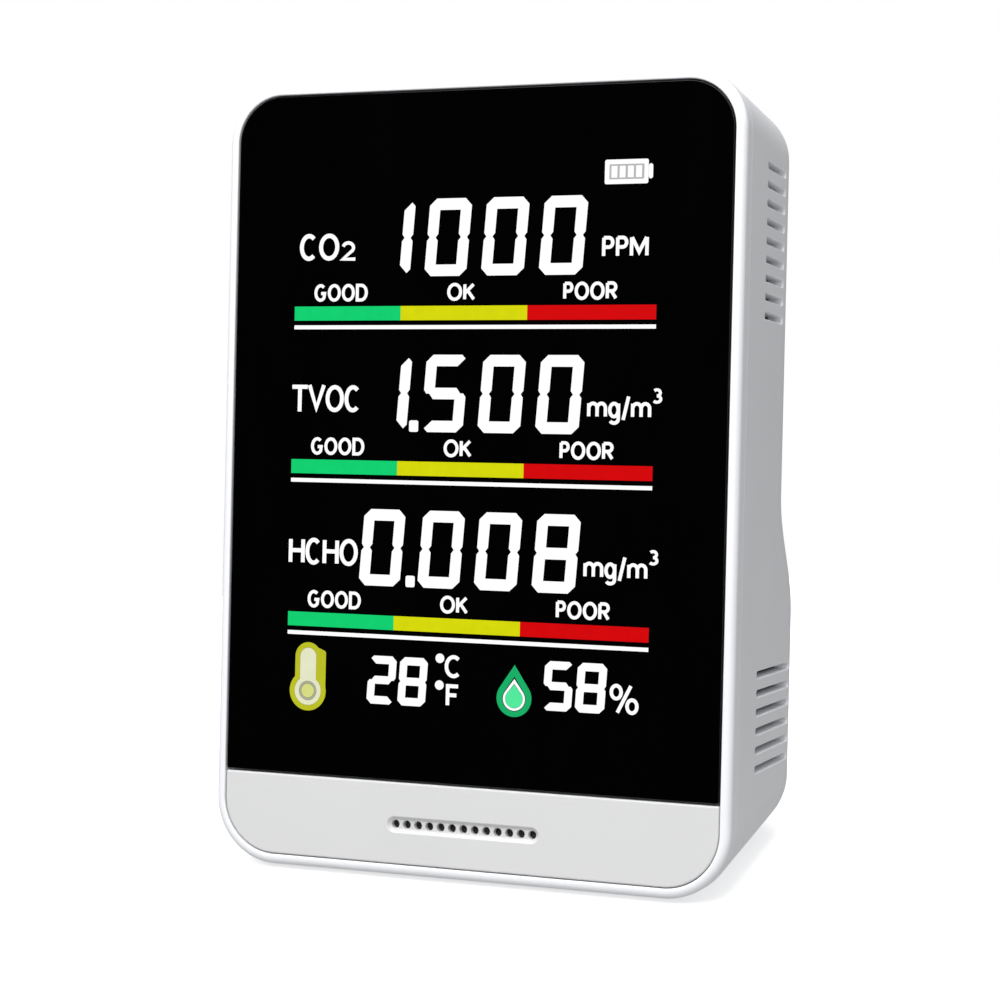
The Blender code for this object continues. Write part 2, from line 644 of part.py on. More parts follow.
def screw_mesh(name, head_radius, head_height, shaft_radius, length):
    """A pan-head screw, head up, with a cross recess."""
    profile = [(0.0, head_height), (head_radius * 0.6, head_height), (head_radius, head_height * 0.45)]
    profile += [(head_radius, 0.0), (shaft_radius, 0.0), (shaft_radius, 0.6 - length), (0.0, -length)]
    screw = place(name + "_blank", turned_mesh(name, profile, 16))
    reach = head_radius * 0.55
    for turn in (0.0, math.radians(90.0)):
        bm = bmesh.new()
        bmesh.ops.create_cube(bm, size=1.0)
        bmesh.ops.scale(bm, vec=(2.0 * reach, 0.45, 1.4), verts=bm.verts)
        cross = place(name + "_cross", mesh_from("cross", bm), None, (0.0, 0.0, head_height), (0.0, 0.0, turn))
        cut(screw, cross)
    return evaluated(screw)


def build_screws():
    case_screw = screw_mesh("case_screw", 2.1, 1.5, SCREW_SHAFT, 11.0)
    for name, sign, (z, seat) in mirrored(CASE_SCREWS):
        at = (sign * CASE_SCREW_X, seat + GAP, z)
        shade_round(place("case_screw_" + name, case_screw, STEEL, at, TURNED_BACK))
    board_screw = screw_mesh("board_screw", 1.8, 1.2, 0.8, 5.6)
    for name, sign, (x, z) in mirrored(BOARD_SCREWS):
        at = (sign * x, PART_BACK, z)
        shade_round(place("board_screw_" + name, board_screw, STEEL, at, TURNED_BACK))
    for side, sign in (("left", -1.0), ("right", 1.0)):
        at = (sign * POWER_SCREW_X, POWER_BOARD_FRONT - GAP, POWER_SCREW_Z)
        shade_round(place("power_board_screw_" + side, board_screw, STEEL, at, FACING_FRONT))


# ---------------------------------------------------------------------------------------------------
# Power board, port, button and battery
# ---------------------------------------------------------------------------------------------------
def build_power_board():
    holes = []
    for sign in (-1.0, 1.0):
        holes.append(arc(sign * POWER_SCREW_X, POWER_SCREW_Z, PILOT_RADIUS, 0.0, 330.0, 11))
    edge = rectangle(-19.5, 9.5, 19.5, 36.0)
    plate("power_board", [edge] + holes, POWER_BOARD_FRONT, POWER_BOARD_BACK, CIRCUIT_BOARD)

    front = POWER_BOARD_FRONT - GAP
    block("charging_chip", (-9.0, front - 1.4, 12.0), (-4.0, front, 16.0), BLACK_PLASTIC, 0.2)
    block("power_inductor", (3.0, front - 3.0, 11.5), (9.0, front, 17.5), BLACK_PLASTIC, 0.5)
    block("battery_connector", (6.5, front - 4.5, 27.0), (13.5, front, 32.5), WHITE_PLASTIC, 0.3)
    block("power_connector", (-6.0, front - 3.5, 23.0), (4.0, front, 27.0), WHITE_PLASTIC, 0.3)
    block("board_connector", (-6.0, PART_BACK, 23.0), (4.0, PART_BACK + 3.5, 27.0), WHITE_PLASTIC, 0.3)
    start = PART_BACK + 3.5 + GAP
    end = front - 3.5 - GAP
    route = [(start + (end - start) * k / 8.0, 25.0 - 5.0 * math.sin(math.pi * k / 8.0)) for k in range(9)]
    strip("board_cable", route, 4.2, 0.5, FILM, x=-1.0)

    back = POWER_BOARD_BACK + GAP
    mouth = FOOT_DEPTH - 0.2
    shell_outline = round_rectangle(-4.5, PORT_Z - 1.63, 4.5, PORT_Z + 1.63, 1.6, 1.6)
    shell = plate("usb_c_shell", [shell_outline], back, mouth, STEEL)
    inner = round_rectangle(-4.15, PORT_Z - 1.28, 4.15, PORT_Z + 1.28, 1.25, 1.25)
    cut(shell, plate("port_cavity", [inner], mouth - 6.2, mouth + 1.0))
    block("usb_c_tongue", (-3.3, mouth - 5.9, PORT_Z - 0.35), (3.3, mouth - 0.8, PORT_Z + 0.35), BLACK_PLASTIC, 0.1)

    switch = block("tact_switch", (-3.0, back, BUTTON_Z - 3.0), (3.0, back + 3.5, BUTTON_Z + 3.0), BLACK_PLASTIC, 0.3)
    cut(switch, rod("plunger_bore", 2.0, 0.0, BUTTON_Z, back + 1.3, back + 5.0))
    plunger_base = back + 1.3 + BUTTON_TRAVEL + GAP
    plunger_top = FOOT_DEPTH - WALL - 2.2
    rise = plunger_top - plunger_base
    plunger = [(0.0, rise), (1.4, rise), (1.6, rise - 0.2), (1.6, 0.0), (0.0, 0.0)]
    mesh = turned_mesh("switch_plunger", plunger, 16)
    shade_round(place("switch_plunger", mesh, RED_WIRE, (0.0, plunger_base, BUTTON_Z), TURNED_BACK))

    flange_back = FOOT_DEPTH - WALL - GAP
    face = FOOT_DEPTH + BUTTON_PROUD - flange_back
    button = [(0.0, face - 0.35), (1.8, face - 0.28), (3.2, face - 0.05), (BUTTON_RADIUS - 0.4, face)]
    button += [(BUTTON_RADIUS, face - 0.4), (BUTTON_RADIUS, 0.0), (6.2, 0.0), (6.2, -1.0), (1.5, -1.0)]
    foot_of_stem = plunger_top + GAP - flange_back
    button += [(1.5, foot_of_stem), (0.0, foot_of_stem)]
    mesh = turned_mesh("power_button", button, 28)
    shade_round(place("power_button", mesh, WHITE_PLASTIC, (0.0, flange_back, BUTTON_Z), TURNED_BACK))


def build_battery():
    inner_wall = UPPER_DEPTH - WALL
    pad_back = inner_wall - GAP
    cell_back = pad_back - 0.4 - GAP
    block("battery_pad", (-14.0, pad_back - 0.4, 60.0), (14.0, pad_back, 88.0), FOAM)
    block("battery_cell", (-17.0, cell_back - 6.0, 55.0), (17.0, cell_back, 92.0), CELL_WRAP, 0.8)
    plug = (8.6, 26.4, 32.5 + GAP)
    for name, x, material in (("battery_lead_red", 2.5, RED_WIRE), ("battery_lead_black", -2.5, BLACK_WIRE)):
        end = Vector(plug) + Vector((x * 0.44 + 1.1, 0.0, 0.0))
        start = (x, cell_back - 3.0, 55.0 - GAP)
        route = [start, (x, cell_back - 3.0, 50.0), (x + 2.0, cell_back - 2.0, 43.0)]
        route += [(end.x, 26.4, 37.5), tuple(end)]
        wire(name, route, 0.55, material)


def stand_on_floor():
    """Puts the middle of the standing model's underside at the origin."""
    bpy.context.view_layer.update()
    graph = bpy.context.evaluated_depsgraph_get()
    low = Vector((math.inf,) * 3)
    high = Vector((-math.inf,) * 3)
    for item in model.objects:
        ready = item.evaluated_get(graph)
        mesh = ready.to_mesh()
        for vertex in mesh.vertices:
            spot = item.matrix_world @ vertex.co
            low = Vector(map(min, low, spot))
            high = Vector(map(max, high, spot))
        ready.to_mesh_clear()
    case_frame.location = (-(low.x + high.x) / 2.0, -(low.y + high.y) / 2.0, -low.z)


build_front_bezel()
build_front_faces()
build_display()
build_main_board()
build_rear_cover()
build_screws()
build_power_board()
build_battery()
stand_on_floor()
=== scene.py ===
"""Looks of the desktop air quality monitor: fine shells, glass, lit display, fasteners and materials.

Every shape is built in the case's own frame in millimetres: X to the right, Y back from the front face,
Z up along the front face. CASE_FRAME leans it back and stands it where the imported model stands."""

import math

import bmesh
import bpy
from mathutils import Matrix, Vector


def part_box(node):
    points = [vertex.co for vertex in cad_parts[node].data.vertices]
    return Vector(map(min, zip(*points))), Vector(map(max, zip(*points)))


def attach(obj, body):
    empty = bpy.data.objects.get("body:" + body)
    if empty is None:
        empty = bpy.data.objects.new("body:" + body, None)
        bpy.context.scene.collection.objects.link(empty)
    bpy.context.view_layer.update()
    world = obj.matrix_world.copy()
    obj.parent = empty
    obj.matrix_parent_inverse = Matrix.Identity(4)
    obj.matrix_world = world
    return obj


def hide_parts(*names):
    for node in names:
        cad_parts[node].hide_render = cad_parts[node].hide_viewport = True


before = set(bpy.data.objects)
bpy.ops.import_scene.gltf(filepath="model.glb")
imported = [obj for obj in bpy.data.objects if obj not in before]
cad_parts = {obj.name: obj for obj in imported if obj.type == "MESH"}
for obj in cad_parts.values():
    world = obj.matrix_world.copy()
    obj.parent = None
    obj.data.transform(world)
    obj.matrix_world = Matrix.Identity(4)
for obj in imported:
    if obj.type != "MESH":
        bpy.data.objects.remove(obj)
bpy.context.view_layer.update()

MM = 0.001

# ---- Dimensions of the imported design, in millimetres and degrees ----
WIDTH = 72.0
BASE = 0.65
HEIGHT = 105.0
LEAN = 8.5
CORNER_RADIUS = 7.7
LOWER_CORNER_RADIUS = 8.7
REAR_EDGE_RADIUS = 8.5
UPPER_DEPTH = 31.5
FOOT_DEPTH = 39.5
FOOT_TOP = 50.5
FOOT_SHOULDER = 33.0
SIDE_DRAFT = 2.0
TOP_DRAFT = 3.5
WALL = 2.0

PARTING = 3.0
SEAM = 0.05
RIM = 1.35
RIM_FILLET = 1.0
LEDGE_FRONT = 2.15
LEDGE_INSET = 4.0
LIP_OUTER = 2.6
LIP_INNER = 3.6
LIP_END = 5.0
WEB_FRONT = 2.25
WEB_BACK = 2.9

FACE_INSET = 1.6
FACE_FRONT = 0.15
FACE_CORNER = 6.1
MEETING_CORNER = 0.3
GLASS_POLISH = 0.04
STRIP_POLISH = 0.28
STRIP_OVERLAP = 0.12
GLASS_BACK = 1.35
GLASS_BOTTOM = 13.15
STRIP_TOP = 12.85
STRIP_BACK = 1.45
GRILLE_HEIGHT = 7.3
GRILLE_HOLES = 13
GRILLE_PITCH = 1.6
GRILLE_HOLE = 0.55
GROOVE_HALF_HEIGHT = 1.0
GROOVE_DEPTH = 0.5
GROOVE_SECTION = ((0.14, -0.5), (0.14, 0.0), (0.02, 0.07), (-0.08, 0.19), (-0.2, 0.32), (-0.34, 0.44),
                  (-0.42, GROOVE_DEPTH))
HOLE_FLARE = 0.07

LCD_HALF_WIDTH = 30.2
LCD_BOTTOM = 21.5
LCD_TOP = 94.4
BOARD_FRONT = 9.2

CASE_SCREW_X = 26.0
CASE_SCREWS = {"top": (98.2, 19.8), "bottom": (11.2, 27.0)}
BOSS_RADIUS = 2.3
PILOT_RADIUS = 1.2
POST_PILOT_RADIUS = 1.1
SCREW_HEAD_RADIUS = 2.1
SCREW_HEAD_HEIGHT = 1.5
SCREW_SHAFT = 0.9
SCREW_LENGTH = 11.0
THREAD_PITCH = 0.45
TUBE_RADIUS = 3.7
RECESS_RADIUS = 2.5
SEAT = 1.5
GAP = 0.3
SIDES = (("left", -1.0), ("right", 1.0))
BOARD_SCREWS = {"top": (16.0, 98.7), "bottom": (19.0, 7.5)}
POST_RADIUS = 2.0

SLOT_GROUPS = ((74.9, 9, 2.42, 12.0, 22.5), (16.1, 6, 2.46, 12.3, 31.5))
SLOT_HEIGHT = 1.05
SLOT_SECTION = ((0.2, 1.0), (0.05, 0.0), (-0.04, -0.08), (-0.08, -0.25), (-0.12, -WALL), (-0.12, -WALL - 1.0))

POWER_BOARD_BACK = 30.2
POWER_SCREW_X = 16.5
POWER_SCREW_Z = 21.0
PORT_Z = 16.5
PORT_MOUTH = (4.85, 1.98)
PORT_SHELL = (4.5, 1.63)
PORT_CAVITY = (4.15, 1.28)
BUTTON_Z = 26.5
BUTTON_RADIUS = 4.7
BUTTON_PROUD = 0.8
FLANGE_RADIUS = 6.2
FLANGE_THICKNESS = 1.0
STEM_RADIUS = 1.5

FOOT_PLACES = {"front": (22.0, 8.5), "rear": (22.0, 27.0)}
PAD_RADIUS = 3.5
PAD_RECESS = 0.7
PAD_PROUD = 0.4


def case_frame():
    """The matrix of the case's frame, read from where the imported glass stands."""
    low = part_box("display_window")[0] / MM
    cosine = math.cos(math.radians(LEAN))
    sine = math.sin(math.radians(LEAN))
    back = low.y - FACE_FRONT * cosine - GLASS_BOTTOM * sine
    up = low.z + GLASS_BACK * sine - GLASS_BOTTOM * cosine
    turn = Matrix.Rotation(-math.radians(LEAN), 4, "X")
    return Matrix.Translation(Vector((0.0, back, up)) * MM) @ turn


CASE_FRAME = case_frame()

# ---- Mesh tools ----
FACING_FRONT = Matrix.Rotation(math.radians(90.0), 4, "X")
TURNED_BACK = Matrix.Rotation(math.radians(-90.0), 4, "X")
WELD = 0.0000005
SHARP_ANGLE = 32.0


def add(name, data):
    """A new object in the scene."""
    item = bpy.data.objects.new(name, data)
    bpy.context.scene.collection.objects.link(item)
    return item


def put(name, mesh, local=Matrix.Identity(4)):
    """An object with this mesh in the case's frame, where local is in metres."""
    item = add(name, mesh)
    item.matrix_world = CASE_FRAME @ local
    return item


def at(x, y, z, turn=Matrix.Identity(4)):
    """A place in the case's frame, in millimetres, with a turn."""
    return Matrix.Translation(Vector((x, y, z)) * MM) @ turn


def mesh_from(name, bm):
    """A mesh in metres from a bmesh in millimetres."""
    bmesh.ops.scale(bm, vec=(MM, MM, MM), verts=bm.verts)
    mesh = bpy.data.meshes.new(name)
    bm.to_mesh(mesh)
    bm.free()
    return mesh


def evaluated(item):
    """The mesh that an object has with its modifiers or its curve worked out."""
    bpy.context.view_layer.update()
    graph = bpy.context.evaluated_depsgraph_get()
    return bpy.data.meshes.new_from_object(item.evaluated_get(graph))


def boolean(item, other, operation):
    """Cuts the other object out of the item, or joins it to the item, and uses it up."""
    modifier = item.modifiers.new(other.name, "BOOLEAN")
    modifier.operation = operation
    modifier.solver = "MANIFOLD"
    modifier.object = other
    mesh = evaluated(item)
    item.modifiers.clear()
    item.data = mesh
    bpy.data.objects.remove(other, do_unlink=True)


def cut(item, *others):
    for other in others:
        boolean(item, other, "DIFFERENCE")


def join(item, *others):
    for other in others:
        boolean(item, other, "UNION")


def smooth(item):
    """Smooth shading across soft edges, with flat faces kept flat."""
    item.data.shade_smooth()
    item.data.set_sharp_from_angle(angle=math.radians(SHARP_ANGLE))
    item.modifiers.new("weighted_normals", "WEIGHTED_NORMAL").keep_sharp = True
    return item


def loft(name, rings, close_rings=False, local=Matrix.Identity(4)):
    """A solid through rings of equal length, closed by end faces or back onto the first ring."""
    bm = bmesh.new()
    loops = [[bm.verts.new(point) for point in ring] for ring in rings]
    pairs = list(zip(loops, loops[1:]))
    if close_rings:
        pairs.append((loops[-1], loops[0]))
    else:
        bm.faces.new(loops[0])
        bm.faces.new(loops[-1])
    for lower, upper in pairs:
        for here in range(len(lower)):
            after = (here + 1) % len(lower)
            bm.faces.new((lower[here], lower[after], upper[after], upper[here]))
    bmesh.ops.recalc_face_normals(bm, faces=bm.faces)
    return put(name, mesh_from(name, bm), local)


def turned(name, profile, steps, local=Matrix.Identity(4)):
    """A solid from a profile of (radius, height) that starts and ends on the height axis."""
    bm = bmesh.new()
    tip = bm.verts.new((0.0, 0.0, profile[0][1]))
    foot = bm.verts.new((0.0, 0.0, profile[-1][1]))
    rings = []
    for radius, height in profile[1:-1]:
        rings.append([bm.verts.new((x, y, height)) for x, y in circle(0.0, 0.0, radius, steps)])
    for here in range(steps):
        after = (here + 1) % steps
        bm.faces.new((tip, rings[0][here], rings[0][after]))
        bm.faces.new((foot, rings[-1][after], rings[-1][here]))
        for upper, lower in zip(rings, rings[1:]):
            bm.faces.new((upper[here], lower[here], lower[after], upper[after]))
    bmesh.ops.recalc_face_normals(bm, faces=bm.faces)
    return put(name, mesh_from(name, bm), local)


def rod(name, radius, x, z, front, back, sides=40):
    """A cylinder along the case's depth."""
    profile = [(0.0, back - front), (radius, back - front), (radius, 0.0), (0.0, 0.0)]
    return turned(name, profile, sides, at(x, front, z, TURNED_BACK))


def arc(cx, cy, radius, start, end, segments):
    """Points on an arc, angles in degrees, both ends included."""
    points = []
    for step in range(segments + 1):
        angle = math.radians(start + (end - start) * step / segments)
        points.append((cx + radius * math.cos(angle), cy + radius * math.sin(angle)))
    return points


def circle(cx, cy, radius, steps):
    return arc(cx, cy, radius, 0.0, 360.0, steps)[:-1]


def round_rectangle(left, bottom, right, top, lower_radius, upper_radius, segments=16):
    """An outline with round corners, from the lower right corner anticlockwise."""
    outline = arc(right - lower_radius, bottom + lower_radius, lower_radius, -90.0, 0.0, segments)
    outline += arc(right - upper_radius, top - upper_radius, upper_radius, 0.0, 90.0, segments)
    outline += arc(left + upper_radius, top - upper_radius, upper_radius, 90.0, 180.0, segments)
    outline += arc(left + lower_radius, bottom + lower_radius, lower_radius, 180.0, 270.0, segments)
    return outline


def rectangle(left, bottom, right, top):
    return [(left, bottom), (right, bottom), (right, top), (left, top)]


def stadium(cx, cy, half_length, half_height, segments=10):
    """A slot outline with round ends, long in its first direction."""
    reach = half_length - half_height
    outline = arc(cx + reach, cy, half_height, -90.0, 90.0, segments)
    return outline + arc(cx - reach, cy, half_height, 90.0, 270.0, segments)


def plate(name, outlines, front, back):
    """A flat plate across the case's depth. An outline inside another is a hole."""
    curve = bpy.data.curves.new(name, "CURVE")
    curve.dimensions = "2D"
    curve.fill_mode = "BOTH"
    curve.extrude = (back - front) / 2.0 * MM
    for outline in outlines:
        spline = curve.splines.new("POLY")
        spline.points.add(len(outline) - 1)
        spline.use_cyclic_u = True
        for point, (x, y) in zip(spline.points, outline):
            point.co = (x * MM, y * MM, 0.0, 1.0)
    local = at(0.0, (front + back) / 2.0, 0.0, FACING_FRONT)
    guide = put(name + "_guide", curve, local)
    mesh = evaluated(guide)
    bpy.data.objects.remove(guide, do_unlink=True)
    bm = bmesh.new()
    bm.from_mesh(mesh)
    bmesh.ops.remove_doubles(bm, verts=bm.verts, dist=WELD)
    bmesh.ops.recalc_face_normals(bm, faces=bm.faces)
    bm.to_mesh(mesh)
    bm.free()
    mesh.materials.clear()
    return put(name, mesh, local)


def mirrored(places):
    """Names, signs and places of pieces that sit on both sides of the case."""
    for level, spot in places.items():
        for side, sign in SIDES:
            yield level + "_" + side, sign, spot


# ---- Material tools ----
def add_node(tree, kind, **values):
    """A shader node with some inputs set. An underscore stands for a space in an input's name."""
    made = tree.nodes.new("ShaderNode" + kind)
    for name, value in values.items():
        made.inputs[name.replace("_", " ")].default_value = value
    return made


def shader_material(name, roughness, metallic=0.0, ior=1.5):
    """A Principled material, its node tree and its shader."""
    material = bpy.data.materials.new(name)
    material.use_nodes = True
    tree = material.node_tree
    shader = tree.nodes["Principled BSDF"]
    shader.inputs["Roughness"].default_value = roughness
    shader.inputs["Metallic"].default_value = metallic
    shader.inputs["IOR"].default_value = ior
    return material, tree, shader


def coordinates(tree, stretch=(1.0, 1.0, 1.0)):
    """The object's own coordinates, in metres, with a stretch along each axis."""
    source = add_node(tree, "TexCoord")
    mapping = add_node(tree, "Mapping", Scale=stretch)
    tree.links.new(source.outputs["Object"], mapping.inputs["Vector"])
    return mapping.outputs["Vector"]


def noise(tree, vector, size, detail=3.0, roughness=0.5):
    """Noise whose features are about size millimetres wide."""
    texture = add_node(tree, "TexNoise", Scale=1.0 / (size * MM), Detail=detail, Roughness=roughness)
    tree.links.new(vector, texture.inputs["Vector"])
    return texture.outputs["Fac"]


def ramp(tree, factor, low, high, start=0.3, end=0.7):
    """Colours from low to high as the factor goes from start to end."""
    node = add_node(tree, "ValToRGB")
    for stop, place, colour in zip(node.color_ramp.elements, (start, end), (low, high)):
        stop.position = place
        stop.color = (*colour, 1.0)
    tree.links.new(factor, node.inputs["Fac"])
    return node.outputs["Color"]


def spread(tree, factor, low, high, start=0.3, end=0.7):
    """A number from low to high as the factor goes from start to end."""
    node = add_node(tree, "MapRange", From_Min=start, From_Max=end, To_Min=low, To_Max=high)
    tree.links.new(factor, node.inputs["Value"])
    return node.outputs["Result"]


def bump(tree, shader, height, depth):
    """Surface relief up to depth millimetres."""
    node = add_node(tree, "Bump", Strength=1.0, Distance=depth * MM)
    tree.links.new(height, node.inputs["Height"])
    tree.links.new(node.outputs["Normal"], shader.inputs["Normal"])


def shade(colour, share):
    """A colour made lighter or darker by a share."""
    return tuple(min(channel * share, 1.0) for channel in colour)


def moulded(name, colour, roughness, grain=0.16, relief=0.012, ior=1.46):
    """Moulded plastic: a fine spark-eroded grain, slight cloudiness and uneven gloss."""
    material, tree, shader = shader_material(name, roughness, ior=ior)
    vector = coordinates(tree)
    cloud = noise(tree, vector, 14.0, 4.0)
    tree.links.new(ramp(tree, cloud, shade(colour, 0.985), shade(colour, 1.01)), shader.inputs["Base Color"])
    fine = noise(tree, vector, grain, 2.0, 0.6)
    gloss = spread(tree, fine, roughness - 0.05, roughness + 0.06)
    tree.links.new(gloss, shader.inputs["Roughness"])
    bump(tree, shader, fine, relief)
    return material


def patterned(name, roughness, pattern, colours, limits=(0.3, 0.7), gloss=None, relief=0.0, metallic=0.0):
    """A material whose colour, gloss and relief follow one pattern, which is made in the node tree."""
    material, tree, shader = shader_material(name, roughness, metallic)
    value = pattern(tree)
    tree.links.new(ramp(tree, value, *colours, *limits), shader.inputs["Base Color"])
    if gloss:
        tree.links.new(spread(tree, value, *gloss), shader.inputs["Roughness"])
    if relief:
        bump(tree, shader, value, relief)
    return material


def brushed(name, colour, roughness, stretch=(1.0, 1.0, 12.0)):
    """Metal with fine directional marks."""
    return patterned(
        name, roughness, lambda tree: noise(tree, coordinates(tree, stretch), 0.9, 4.0, 0.7),
        (shade(colour, 0.86), shade(colour, 1.08)), gloss=(roughness - 0.08, roughness + 0.12),
        relief=0.004, metallic=1.0)


def glossy_glass(name, colour, roughness):
    """Polished tinted glass with the faintest haze from wiping."""
    return patterned(
        name, roughness, lambda tree: noise(tree, coordinates(tree, (1.0, 1.0, 0.35)), 9.0, 5.0, 0.65),
        (shade(colour, 0.8), shade(colour, 1.2)), gloss=(roughness, roughness + 0.03))


def lit(name, colour, strength=1.0, unevenness=0.06):
    """A lit part of the display: even light with the mottle of its diffuser."""
    material, tree, shader = shader_material(name, 0.12)
    shader.inputs["Base Color"].default_value = (0.001, 0.001, 0.001, 1.0)
    vector = coordinates(tree)
    mottle = noise(tree, vector, 1.6, 2.0)
    glow = ramp(tree, mottle, shade(colour, 1.0 - unevenness), colour)
    tree.links.new(glow, shader.inputs["Emission Color"])
    shader.inputs["Emission Strength"].default_value = strength
    return material


WHITE = (0.84, 0.845, 0.87)
MATERIALS = {
    "white_plastic": moulded("white_case_plastic", WHITE, 0.42),
    "grey_plastic": moulded("grey_strip_plastic", (0.64, 0.64, 0.64), 0.48, 0.14, 0.010),
    "black_glass": glossy_glass("tinted_black_glass", (0.0006, 0.0006, 0.0006), 0.02),
    "steel": brushed("plated_steel", (0.62, 0.63, 0.64), 0.30),
    "rubber": moulded("foot_rubber", (0.035, 0.035, 0.037), 0.72, 0.3, 0.03),
    "lit_white": lit("lit_white_segments", (1.0, 1.0, 1.0), 1.05, 0.05),
    "lit_green": lit("lit_green_scale", (0.006, 0.645, 0.168)),
    "lit_yellow": lit("lit_yellow_scale", (0.69, 0.71, 0.003)),
    "lit_red": lit("lit_red_scale", (0.68, 0.002, 0.003)),
}


def show(item, slot, *nodes, body="case", material=None):
    """Finishes a piece: its place, its material (the slot's own unless one is given), its body, and hides the
    CAD nodes that it stands for.
    """
    item.data.transform(item.matrix_world)
    item.matrix_world = Matrix.Identity(4)
    item.data.materials.clear()
    item.data.materials.append(material or MATERIALS[slot])
    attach(item, body)
    if nodes:
        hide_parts(*nodes)
    return item


# ---- Case shape ----
def bottom_at(y):
    """Height of the flat bottom, which is level once the case leans back."""
    return BASE + (y - PARTING) * math.tan(math.radians(LEAN))


def top_at(y):
    return HEIGHT - (y - PARTING) * math.tan(math.radians(TOP_DRAFT))


def side_at(y):
    return WIDTH / 2.0 - (y - PARTING) * math.tan(math.radians(SIDE_DRAFT))


def depth_at(height):
    """Depth of the rear wall: flat above, a smooth step out to the deeper foot below."""
    t = min(max((FOOT_TOP - height) / (FOOT_TOP - FOOT_SHOULDER), 0.0), 1.0)
    return UPPER_DEPTH + (FOOT_DEPTH - UPPER_DEPTH) * t * t * (3.0 - 2.0 * t)


def end_rounding(distance, radius):
    """How far a rounded edge has pulled in, at a distance from the end face."""
    if distance >= radius:
        return 0.0
    return radius - math.sqrt(radius ** 2 - (radius - distance) ** 2)


def case_ring(distance, low, inset, front):
    """One level of the rear cover, a given distance in from its lower or upper end."""
    side_radius = (LOWER_CORNER_RADIUS if low else CORNER_RADIUS) - inset
    edge_radius = REAR_EDGE_RADIUS - inset
    height = BASE + inset + distance if low else HEIGHT - inset - distance
    share = (height - BASE) / (HEIGHT - BASE)
    pull_side = end_rounding(distance, side_radius)
    back = depth_at(height) - inset - end_rounding(distance, edge_radius)
    radius = max(math.sqrt(edge_radius ** 2 - max(edge_radius - distance, 0.0) ** 2), 0.02)

    def spot(x, y):
        return (x, y, bottom_at(y) + share * (top_at(y) - bottom_at(y)))

    reach = back - radius
    half = side_at(reach) - inset - pull_side
    corner = arc(half - radius, reach, radius, 0.0, 90.0, 16)
    front_half = side_at(front) - inset - pull_side
    right = [(front_half, front)] + corner
    left = [(-x, y) for x, y in reversed(right)]
    return [spot(x, y) for x, y in right + left]


def case_solid(name, inset, front):
    """The rear cover's outer form, or with an inset the space inside it."""
    radius = REAR_EDGE_RADIUS - inset
    rounding = [radius * (1.0 - math.cos(math.radians(5.0 * k))) for k in range(19)]
    middle = HEIGHT / 2.0 - inset
    steps = 18
    levels = [FOOT_SHOULDER - 9.0]
    levels += [FOOT_SHOULDER + (FOOT_TOP - FOOT_SHOULDER) * k / steps for k in range(steps + 1)]
    rings = [case_ring(distance, True, inset, front) for distance in rounding]
    rings += [case_ring(level - BASE - inset, True, inset, front) for level in levels]
    rings += [case_ring(middle, False, inset, front)]
    rings += [case_ring(distance, False, inset, front) for distance in reversed(rounding)]
    return loft(name, rings)


def frame_outline(inset, segments=22):
    lower = LOWER_CORNER_RADIUS - inset
    upper = CORNER_RADIUS - inset
    half = WIDTH / 2.0 - inset
    return round_rectangle(-half, BASE + inset, half, HEIGHT - inset, lower, upper, segments)


# ---- Front frame, glass and grille strip ----
def build_front_frame():
    inner_round = 0.18
    edge = 0.05
    section = [(edge, PARTING), (0.0, PARTING - edge)]
    section += [(RIM_FILLET - x, RIM_FILLET - y) for x, y in arc(0.0, 0.0, RIM_FILLET, 0.0, 90.0, 10)]
    section += [(RIM - inner_round + x, inner_round - y) for x, y in arc(0.0, 0.0, inner_round, 90.0, 0.0, 3)]
    section += [(RIM, LEDGE_FRONT), (LEDGE_INSET, LEDGE_FRONT), (LEDGE_INSET, PARTING)]
    section += [(LIP_INNER, PARTING), (LIP_INNER, LIP_END), (LIP_OUTER, LIP_END), (LIP_OUTER, PARTING)]
    rings = [[(x, y, z) for x, z in frame_outline(inset)] for inset, y in section]
    bezel = loft("front_frame", rings, True)

    lcd_hole = rectangle(-LCD_HALF_WIDTH - 0.6, LCD_BOTTOM - 0.6, LCD_HALF_WIDTH + 0.6, LCD_TOP + 0.6)
    grille_hole = rectangle(-13.0, GRILLE_HEIGHT - 2.6, 13.0, GRILLE_HEIGHT + 2.6)
    join(bezel, plate("web", [frame_outline(3.0), lcd_hole, grille_hole], WEB_FRONT, WEB_BACK))
    for name, sign, (z, seat) in mirrored(CASE_SCREWS):
        end = seat - SEAT - GAP
        x = sign * CASE_SCREW_X
        join(bezel, rod("boss_" + name, BOSS_RADIUS, x, z, WEB_BACK - 0.3, end))
        cut(bezel, rod("pilot_" + name, PILOT_RADIUS, x, z, end - 12.0, end + 1.0))
    for name, sign, (x, z) in mirrored(BOARD_SCREWS):
        end = BOARD_FRONT - GAP
        join(bezel, rod("post_" + name, POST_RADIUS, sign * x, z, WEB_BACK - 0.3, end))
        cut(bezel, rod("post_pilot_" + name, POST_PILOT_RADIUS, sign * x, z, end - 5.0, end + 1.0))
    show(smooth(bezel), "white_plastic", "front_bezel")


def face_plate(name, bottom, top, lower_radius, upper_radius, back, polish, inset=FACE_INSET):
    """A plate behind the rim, with a narrow polished round along its front edge."""
    half = WIDTH / 2.0 - inset
    section = [(0.08, back), (0.0, back - 0.08)]
    section += [(polish - x, FACE_FRONT + polish - y) for x, y in arc(0.0, 0.0, polish, 0.0, 90.0, 4)]
    rings = []
    for pull, y in section:
        radii = (max(lower_radius - pull, 0.02), max(upper_radius - pull, 0.02))
        outline = round_rectangle(-half + pull, bottom + pull, half - pull, top - pull, *radii)
        rings.append([(x, y, z) for x, z in outline])
    return loft(name, rings)


